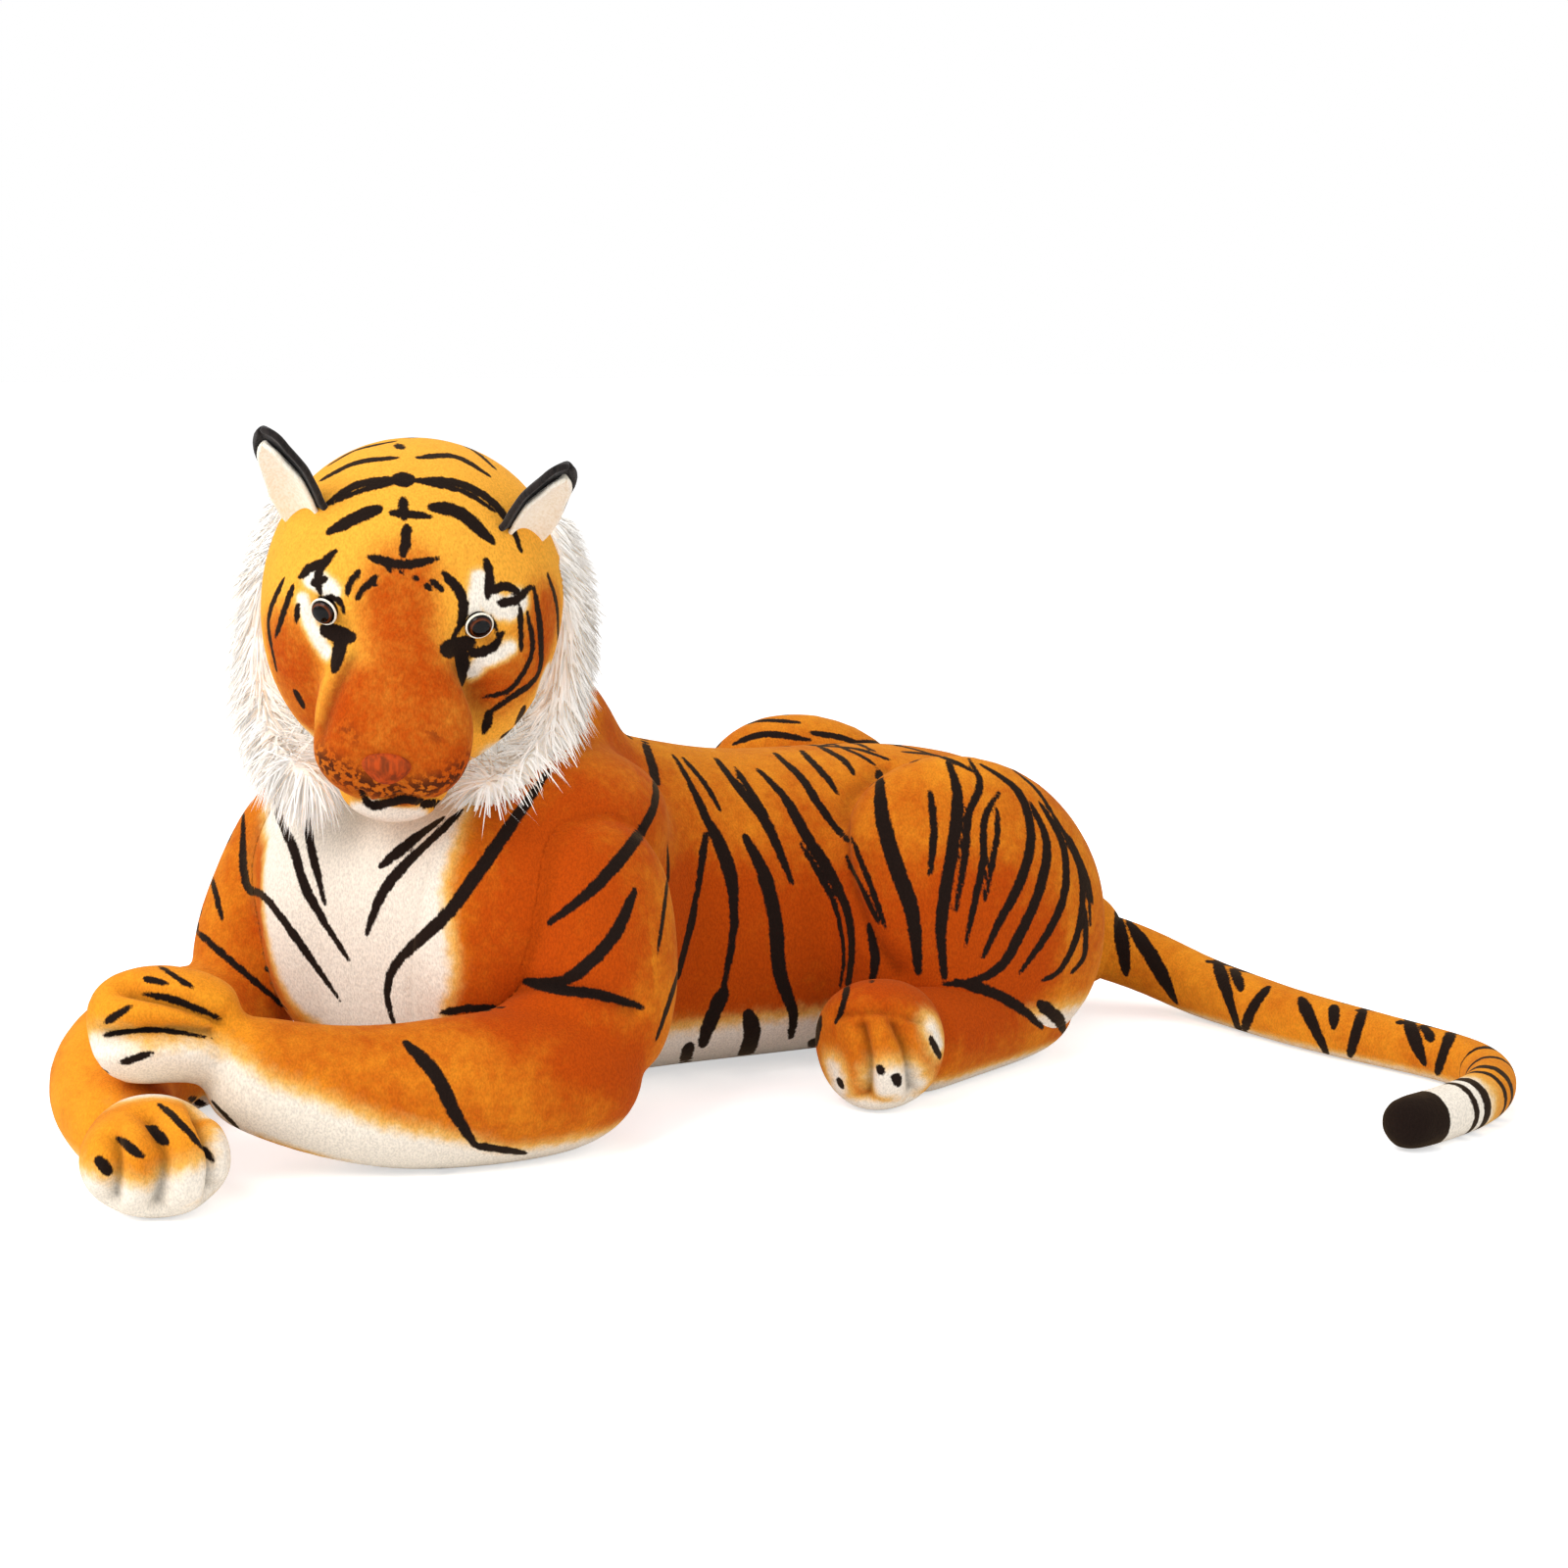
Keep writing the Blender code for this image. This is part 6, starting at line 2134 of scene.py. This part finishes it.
@dataclass
class Ruff:
    """Long white pile behind one cheek, over a soft roll.

    A row of the path holds its place as shares of the skull's half sizes, and its girth.
    """

    side: Side
    head: Head
    path: tuple = (
        (0.84, 0.14, 0.58, 0.26), (0.88, 0.26, 0.38, 0.46), (0.96, 0.28, 0.10, 0.80),
        (0.98, 0.20, -0.30, 0.95), (0.92, 0.06, -0.68, 1.00), (0.84, -0.34, -0.86, 0.85),
        (0.68, -0.72, -0.94, 0.70), (0.46, -0.92, -0.92, 0.55),
    )
    half_depth: float = 25.8 * MM
    half_width: float = 13.6 * MM
    locks_count: int = 5200
    edge_locks: int = 3000
    edge_tries: int = 60000
    length: float = 30.0 * MM
    short: float = 16.0 * MM
    width: float = 1.0 * MM
    lift: float = 0.30
    tints: tuple = (0.55, 0.32, 0.13)
    light: tuple = (0.25, -0.2, 0.5)
    seed: int = 7
    roll: bpy.types.Object = None
    locks: bpy.types.Object = None

    def cheek_edge(self, rng: np.random.Generator) -> tuple:
        """Roots and normals of locks along the edge of one cheek.

        Args:
            rng: source of the random numbers.

        Returns:
            Both as rows.
        """
        roots, normals = scatter(self.head.skin, self.edge_tries, rng)
        across, back, up = self.head.shares(roots).T
        ahead = -0.02 - 0.66 * smoothstep(-up, 0.36, 0.80)
        kept = (back > ahead) & (back < 0.35) & (up < 0.30) & (self.side.sign * across > 0.25)
        picked = np.nonzero(kept)[0][: self.edge_locks]
        return roots[picked], normals[picked]

    def build(self) -> None:
        """Roll and locks."""
        sign, head, size = self.side.sign, SPINE.head(), self.head
        points, halves = [], []
        for across, back, up, girth in self.path:
            knot = (sign * across * size.half_width, back * size.reach, up * size.half_height)
            points.append(Vector(knot))
            halves.append((girth * self.half_depth, girth * self.half_width))
        outward = Vector((sign, 0.0, -1.0)).normalized()
        roll = loft("ruff_roll_" + self.side.value, path_rings(points, halves, outward), 10)
        self.roll = move(roll, head)
        rng = np.random.default_rng(self.seed + int(sign))
        grown = scatter(self.roll, self.locks_count, rng), self.cheek_edge(rng)
        roots, normals = (np.vstack(pair) for pair in zip(*grown))
        count, turn = len(roots), np.array(head.to_3x3())
        place = smoothstep(-into(head, roots)[:, 2], -0.060, 0.110)
        flat = normals @ turn
        ways = (sign * (0.40 - 0.42 * place), 0.35 - 0.30 * place, -0.65 - 0.45 * place)
        heading = np.column_stack(ways)
        heading += 0.42 * flat + rng.normal(0.0, 0.12, (count, 3))
        heading /= np.linalg.norm(heading, axis=1)[:, None]
        lift = self.lift - (heading * flat).sum(1)
        heading += np.clip(lift, 0.0, None)[:, None] * flat
        heading /= np.linalg.norm(heading, axis=1)[:, None]
        length = (self.short + (self.length - self.short) * place) * rng.uniform(0.6, 1.1, count)
        length[self.locks_count :] *= 0.7
        droop = np.zeros((count, 3))
        droop[:, 2] = -length * rng.uniform(0.10, 0.30, count)
        droop[:, 0] = rng.normal(0.0, 2.0 * MM, count)
        widths = self.width * rng.uniform(0.6, 1.25, count)
        tints = rng.choice(3, count, p=self.tints)
        heading = heading @ turn.T
        name = "ruff_locks_" + self.side.value
        self.locks = spikes(name, roots, heading, droop, length, widths, tints)
        even_shading(self.locks, normals * 0.5 + heading * 0.15 + np.array(self.light))

    def dress(self, wardrobe: Wardrobe) -> None:
        """Finish and ride.

        Args:
            wardrobe: all materials.
        """
        slot, node = "long_white_pile", "ruff_" + self.side.value
        # roll and locks both carry the locks' emitted painted light
        finish_piece(self.roll, wardrobe.hairs[1], slot, "head", node, fill=0.8)
        finish_piece(self.locks, wardrobe.hairs, slot, "head")


@dataclass
class Whiskers:
    """Stiff pale strands on one side of the muzzle."""

    side: Side
    root: tuple = (46.0 * MM, -119.0 * MM, -45.0 * MM)
    count: int = 6
    length: float = 44.0 * MM
    radius: float = 0.28 * MM
    spread_turn: float = 0.17
    seed: int = 21
    strands: bpy.types.Object = None

    def build(self) -> None:
        """Strands that fan out and sag."""
        sign = self.side.sign
        rng = np.random.default_rng(self.seed + int(sign))
        roots, headings, droops = [], [], []
        for number in range(self.count):
            turn = (number - (self.count - 1) / 2.0) * self.spread_turn
            root = np.array(self.root) * (sign, 1.0, 1.0)
            root[1] += rng.uniform(-7.0, 7.0) * MM
            root[2] += rng.uniform(-8.0, 8.0) * MM
            heading = np.array((sign * math.cos(turn), -0.22, math.sin(turn) - 0.1))
            roots.append(root)
            headings.append(heading / np.linalg.norm(heading))
            droops.append((0.0, 0.0, -self.length * rng.uniform(0.1, 0.28)))
        lengths = self.length * rng.uniform(0.8, 1.1, self.count)
        self.strands = spikes(
            "whisker_strands_" + self.side.value,
            out_of(SPINE.head(), np.array(roots)),
            np.array(headings) @ np.array(SPINE.head().to_3x3()).T,
            np.array(droops),
            lengths,
            np.full(self.count, self.radius),
            np.zeros(self.count),
            8,
        )

    def dress(self, wardrobe: Wardrobe) -> None:
        """Finish and ride."""
        node = "whiskers_" + self.side.value
        finish_piece(self.strands, wardrobe.strand, "whisker_fibre", "head", node)


# Tail


@dataclass
class Tail:
    """Ball cover at the rump and the long tail, bending near its end.

    A row of the path holds shares of the spread and of the sweep.
    """

    ball_radius: float = 36.0 * MM
    ball_back: float = 352.0 * MM
    ball_height: float = 51.5 * MM
    root_radius: float = 25.0 * MM
    end_radius: float = 17.0 * MM
    start_radius: float = 15.0 * MM
    spread: float = 414.0 * MM
    sweep: float = 109.0 * MM
    path_rows: tuple = (
        (0.0, 0.0), (0.065, 0.38), (0.15, 0.58), (0.26, 0.62), (0.38, 0.66), (0.52, 0.78), (0.64, 0.93),
        (0.73, 1.00), (0.80, 0.97), (0.87, 0.80), (0.925, 0.52), (0.955, 0.22), (0.975, -0.04),
        (0.985, -0.29),
    )
    bend_point: int = 6
    bend_reach: tuple = (0.024, 0.0, 0.0)
    tube_voxel: float = 3.6 * MM
    ball_voxel: float = 4.0 * MM
    root: bpy.types.Object = None
    tube: bpy.types.Object = None

    def radius(self, share: float) -> float:
        """Radius at a share of the length."""
        return self.root_radius + (self.end_radius - self.root_radius) * min(share / 0.5, 1.0)

    def radii(self) -> list:
        """Radius at each point of the path."""
        last = len(self.path_rows) - 1
        return [self.radius(index / last) for index in range(last + 1)]

    def path(self) -> list:
        """Middle line of the tail, which falls to the floor over its first two points.

        Returns:
            Points in metres.
        """
        points = []
        for index, ((across, back), radius) in enumerate(zip(self.path_rows, self.radii())):
            drop_share = (1.0 + math.cos(min(index, 2) / 2.0 * math.pi)) / 2.0
            height = radius + (self.ball_height - radius) * drop_share
            points.append(Vector((across * self.spread, self.ball_back + back * self.sweep, height)))
        return points

    def build(self) -> None:
        """Ball and tube."""
        points = self.path()
        rings = path_rings(points, [(radius, radius) for radius in self.radii()], UP)
        before = points[0] + (points[0] - points[1]) * 0.12
        start = Ring(before, rings[0].side, rings[0].up, self.start_radius, self.start_radius)
        tube = loft("tube", [start, *rings], 10)
        self.tube = rest_on_floor(fuse("tail_plush", [tube], self.tube_voxel, 3))
        ball = egg("ball", points[0], (self.ball_radius,) * 3)
        self.root = fuse("tail_root_plush", [ball], self.ball_voxel, 4)

    def along(self, rows: np.ndarray) -> tuple:
        """Part of the path nearest to each row, and the length from the root in metres.

        Args:
            rows: places in metres.

        Returns:
            Number of the part and length, for each row.
        """
        path = np.array([tuple(point) for point in self.path()])
        best = np.full(len(rows), np.inf)
        part, length, passed = np.zeros(len(rows), int), np.zeros(len(rows)), 0.0
        for index, start in enumerate(path[:-1]):
            step = path[index + 1] - start
            share = np.clip(((rows - start) @ step) / (step @ step), 0.0, 1.0)
            gap = np.linalg.norm(rows - start - share[:, None] * step, axis=1)
            closer = gap < best
            best[closer] = gap[closer]
            part[closer] = index
            length[closer] = passed + share[closer] * np.linalg.norm(step)
            passed += np.linalg.norm(step)
        return part, length

    def dress(self, wardrobe: Wardrobe) -> None:
        """Finish both and ride the ball.

        Args:
            wardrobe: all materials.
        """
        finish_piece(self.root, wardrobe.plush, "orange_plush", "tail_root", "tail_root", fill=0.9)
        nodes = ("tail_upper", "tail_curl", "tail_tip")
        finish_piece(self.tube, wardrobe.plush, "orange_plush", "", *nodes, fill=0.9)
        bend, reach = self.path()[self.bend_point], Vector(self.bend_reach)
        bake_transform(self.tube)


# Markings


@dataclass
class Markings:
    """Colours the skins: stripes, pale fields, deep fields, yellow fields that are partly painted
    highlight, and specks, and sews the creases with their painted shade.
    """

    trunk: Trunk
    forelegs: list
    hind_legs: list
    head: Head
    tail: Tail
    # Height that the pale belly band and the pale soles end at, and where they are gone
    belly_band: tuple = (0.022, 0.060)
    foreleg_sole: tuple = (0.002, 0.030)
    hind_sole: tuple = (0.002, 0.022)
    # Stripes of the rump: how far back they start, and their reach across, in millimetres
    rump: tuple = ((262.0, 100.0), (292.0, 94.0), (320.0, 84.0), (344.0, 68.0))
    # Stripes of the neck's back: height in millimetres and half the turn they cover in degrees
    nape: tuple = ((214.0, 60.0), (232.0, 52.0), (250.0, 44.0))
    # Stripes of the head's back: height as a share, and half the turn they cover in degrees
    head_back: tuple = ((0.72, 55.0), (0.42, 70.0), (0.12, 78.0), (-0.2, 74.0), (-0.5, 60.0))

    def build(self) -> None:
        """Sew the creases of paws, haunch, bib and face, then write every skin's numbers."""
        legs = [leg.skin for leg in self.forelegs + self.hind_legs]
        tree = tree_of(self.trunk.skin, *legs)
        for leg in legs:
            crease(leg, MARKS["leg_creases"], tree)
        crease(self.trunk.skin, MARKS["body_creases"], tree)
        crease(self.head.skin, MARKS["head_creases"], tree_of(self.head.skin))
        self.mark_body([self.trunk.skin, *legs])
        self.mark_head()
        self.mark_tail()

    def mark_body(self, skins: list) -> None:
        """Trunk and legs.

        Args:
            skins: the skins of trunk and legs.
        """
        tree = tree_of(*skins)
        stripes = Strokes(MARKS["chest_stripes"], tree)
        stripes.cast(MARKS["body_stripes"], tree, mirrored=True)
        self.mark_behind(stripes, tree)
        bib, leg_pale, light = (
            Strokes(MARKS[name], tree, taper=False) for name in ("bib", "leg_pale", "body_light")
        )
        deep = Strokes(MARKS["body_deep"], tree, mirrored=True, taper=False)
        for skin in skins:
            points = get_points(skin)
            band = self.belly_band
            if skin.name.startswith("foreleg"):
                band = self.foreleg_sole
            if skin.name.startswith("hind"):
                band = self.hind_sole
            pale = 1.0 - smoothstep(points[:, 2], *band)
            pale = np.maximum(pale, 1.0 - smoothstep(bib.distance(points), -0.010, 0.022))
            if skin is not self.trunk.skin:
                pale = np.maximum(pale, 1.0 - smoothstep(leg_pale.distance(points), -0.012, 0.024))
            tone = 0.58 + 0.44 * (1.0 - smoothstep(deep.distance(points), -0.03, 0.03))
            tone -= 0.28 * smoothstep(points[:, 2], 0.175, 0.235)
            # yellower fields on chest, forearms and paws: partly the plush's own colour, partly painted
            # highlight where the light falls on them
            tone -= 0.42 * (1.0 - smoothstep(light.distance(points), -0.015, 0.035))
            self.write(skin, stripes.distance(points), pale, tone)

    def mark_behind(self, stripes: Strokes, tree: BVHTree) -> None:
        """Stripes of the rump and the nape, which the photograph doesn't show.

        Args:
            stripes: strokes that get them.
            tree: search tree of trunk and legs.
        """
        paths, share = [], np.linspace(0.0, 1.0, 50)
        for side in Side:
            for back, reach in self.rump:
                across, up = side.sign * (6.0 + share * reach), 235.0 - 150.0 * share**1.5
                paths.append(np.column_stack((across, back + 20.0 * share, up)) * MM)
        for height, turn in self.nape:
            angles = np.linspace(-turn, turn, len(share)) * DEG
            heights = np.full(len(share), height)
            rows = np.column_stack((np.sin(angles) * 80.0, np.cos(angles) * 105.0, heights)) * MM
            paths.append(out_of(SPINE.front(), rows))
        for rows in paths:
            stripes.add_unseen(rows, 4.0, share, tree, 0.05, reach=1.0)

    @staticmethod
    def write(
        skin: bpy.types.Object, stripe: np.ndarray, pale: np.ndarray, tone: object, speck: object = 0.0
    ) -> None:
        """Store the four numbers; the stripe's is in millimetres."""
        for name, values in (("stripe", stripe / MM), ("pale", pale), ("tone", tone), ("speck", speck)):
            add_float(skin, name, np.broadcast_to(values, len(stripe)))

    def mark_head(self) -> None:
        """Face marks, and stripes over the back of the head."""
        head, tree = self.head, tree_of(self.head.skin)
        points = get_points(head.skin)
        stripes = Strokes(MARKS["head_stripes"], tree)
        pale_gap, deep_gap, speck_gap = (
            Strokes(MARKS[name], tree, taper=False).distance(points)
            for name in ("head_pale", "head_deep", "speckled")
        )
        share = np.linspace(0.0, 1.0, 60)
        for height, reach in self.head_back:
            turns = np.linspace(-reach, reach, len(share)) * DEG
            heights = height * head.half_height + np.cos(turns * 2.0) * 5.0 * MM
            rows = np.column_stack((np.sin(turns) * head.half_width, np.cos(turns) * head.reach, heights))
            found = [tuple(tree.find_nearest(Vector(row))[0]) for row in out_of(SPINE.head(), rows)]
            stripes.add(np.array(found), 3.2, share)
        across, _, up = head.shares(points).T
        cheek = 0.85 * smoothstep(-up, 0.50, 0.70) * smoothstep(np.abs(across), 0.42, 0.60)
        pale = np.maximum(0.85 * (1.0 - smoothstep(pale_gap, -0.004, 0.006)), cheek)
        tone = 0.04 + 0.76 * (1.0 - smoothstep(deep_gap, -0.012, 0.022))
        speck = 0.95 * (1.0 - smoothstep(speck_gap, -0.012, 0.004))
        self.write(head.skin, stripes.distance(points), pale, tone, speck)

    def mark_tail(self) -> None:
        """Stripes on both sides of the tail, and its rings and tip."""
        tail, tree = self.tail, tree_of(self.tail.tube)
        strokes = Strokes(MARKS["tail_stripes"], tree)
        path = np.array([tuple(point) for point in tail.path()])
        for rows, halves in list(zip(strokes.points, strokes.halves)):
            parts = tail.along(rows)[0]
            across = np.cross(path[parts + 1] - path[parts], (0.0, 0.0, 1.0))
            across /= np.linalg.norm(across, axis=1)[:, None]
            beside = ((rows - path[parts]) * across).sum(1)
            strokes.points.append(rows - 2.0 * beside[:, None] * across)
            strokes.halves.append(halves)
        ring_marks = MARKS["tail_rings"]
        places = (*TAIL_PALE, TAIL_TIP, *(knots[0] for _, knots in ring_marks))
        seen = [tree.ray_cast(VIEW.place(), VIEW.ray(*place))[0] for place in places]
        pale_start, pale_end, tip, *rings = tail.along(np.array([tuple(place) for place in seen]))[1]
        for skin in (tail.tube, tail.root):
            points = get_points(skin)
            length = tail.along(points)[1]
            stripe = np.minimum(strokes.distance(points), tip - length)
            for middle, (half, _) in zip(rings, ring_marks):
                stripe = np.minimum(stripe, np.abs(length - middle) - half * MM)
            pale = smoothstep(length, pale_start, pale_end)
            pale = np.maximum(pale, 0.6 * (1.0 - smoothstep(points[:, 2], 0.004, 0.014)))
            self.write(skin, stripe, pale, 0.36)


# Studio


@dataclass(frozen=True)
class Studio:
    """Plain pale floor, soft light and the camera."""

    floor_half: float = 30.0
    floor_glow: float = 0.56
    even_light: float = 0.57
    aim: tuple = (0.03, 0.05, 0.15)
    # Place, size and power of each lamp
    lamps: tuple = (
        ("key", (1.0, -1.6, 1.8), 1.3, 32.0),
        ("fill", (2.0, 0.7, 0.9), 1.8, 9.0),
        ("side", (-0.3, -2.0, 1.1), 1.2, 11.0),
        ("top", (-0.6, 0.3, 2.2), 1.8, 14.0),
    )

    def floor(self) -> None:
        """Wide white floor."""
        half = self.floor_half
        corners = [(-half, -half, 0.0), (half, -half, 0.0), (half, half, 0.0), (-half, half, 0.0)]
        obj = made("floor", corners, [(0, 1, 2, 3)])
        n = Nodes.material("floor", Roughness=0.9, Specular_IOR_Level=0.1, Emission_Color=WHITE)
        grain = n.mix(n.noise(90.0, 2.0), (0.90, 0.90, 0.90, 1.0), (0.93, 0.93, 0.93, 1.0))
        n.feed(n.shader.inputs["Base Color"], grain)
        shine = n.math("MULTIPLY", n.seen(), self.floor_glow)
        n.feed(n.shader.inputs["Emission Strength"], shine)
        obj.data.materials.append(n.owner)

    def world(self) -> None:
        """Even light from all sides, seen as white."""
        n = Nodes(bpy.data.worlds.new("world"))
        bpy.context.scene.world = n.owner
        n.tree.nodes.clear()
        mixed = n.node("MixShader")
        n.feed(mixed.inputs["Fac"], n.seen())
        for number, strength in ((1, self.even_light), (2, 1.0)):
            light = n.node("Background")
            n.feed(light.inputs["Color"], WHITE)
            n.feed(light.inputs["Strength"], strength)
            n.feed(mixed.inputs[number], light.outputs[0])
        n.feed(n.node("OutputWorld").inputs["Surface"], mixed.outputs[0])

    def build(self) -> None:
        """Set up the whole studio, with square lamps that look at the toy."""
        bpy.context.scene.view_settings.view_transform = "Standard"
        self.floor()
        self.world()
        for name, place, size, power in self.lamps:
            data = bpy.data.lights.new(name, "AREA")
            data.size, data.energy = size, power
            heading = Vector(self.aim) - Vector(place)
            turn = heading.to_track_quat("-Z", "Y").to_matrix().to_4x4()
            link(name, data).matrix_world = Matrix.Translation(place) @ turn
        VIEW.build()


# The whole toy


def main() -> None:
    """Build every piece in order, mark and dress them, and report each."""
    Studio().build()
    wardrobe, trunk = Wardrobe(), Trunk()
    trunk.build()
    forelegs = [Foreleg(side, trunk.skin) for side in (Side.RIGHT, Side.LEFT)]
    hind_legs = [HindLeg(side) for side in Side]
    head, tail = Head(), Tail()
    markings = Markings(trunk, forelegs, hind_legs, head, tail)
    details: list = []
    for side in Side:
        details += [Eye(side), Ear(side), Ruff(side, head), Whiskers(side)]
    for piece in (*forelegs, *hind_legs, head, tail, markings, *details):
        piece.build()
        label = piece.side.value if hasattr(piece, "side") else ""
        LOG.info("built %s %s", type(piece).__name__.lower(), label)
    for piece in (trunk, *forelegs, *hind_legs, head, tail, *details):
        piece.dress(wardrobe)


if __name__ == "__main__":
    logging.basicConfig(level=logging.INFO, format="%(name)s: %(message)s")
    main()
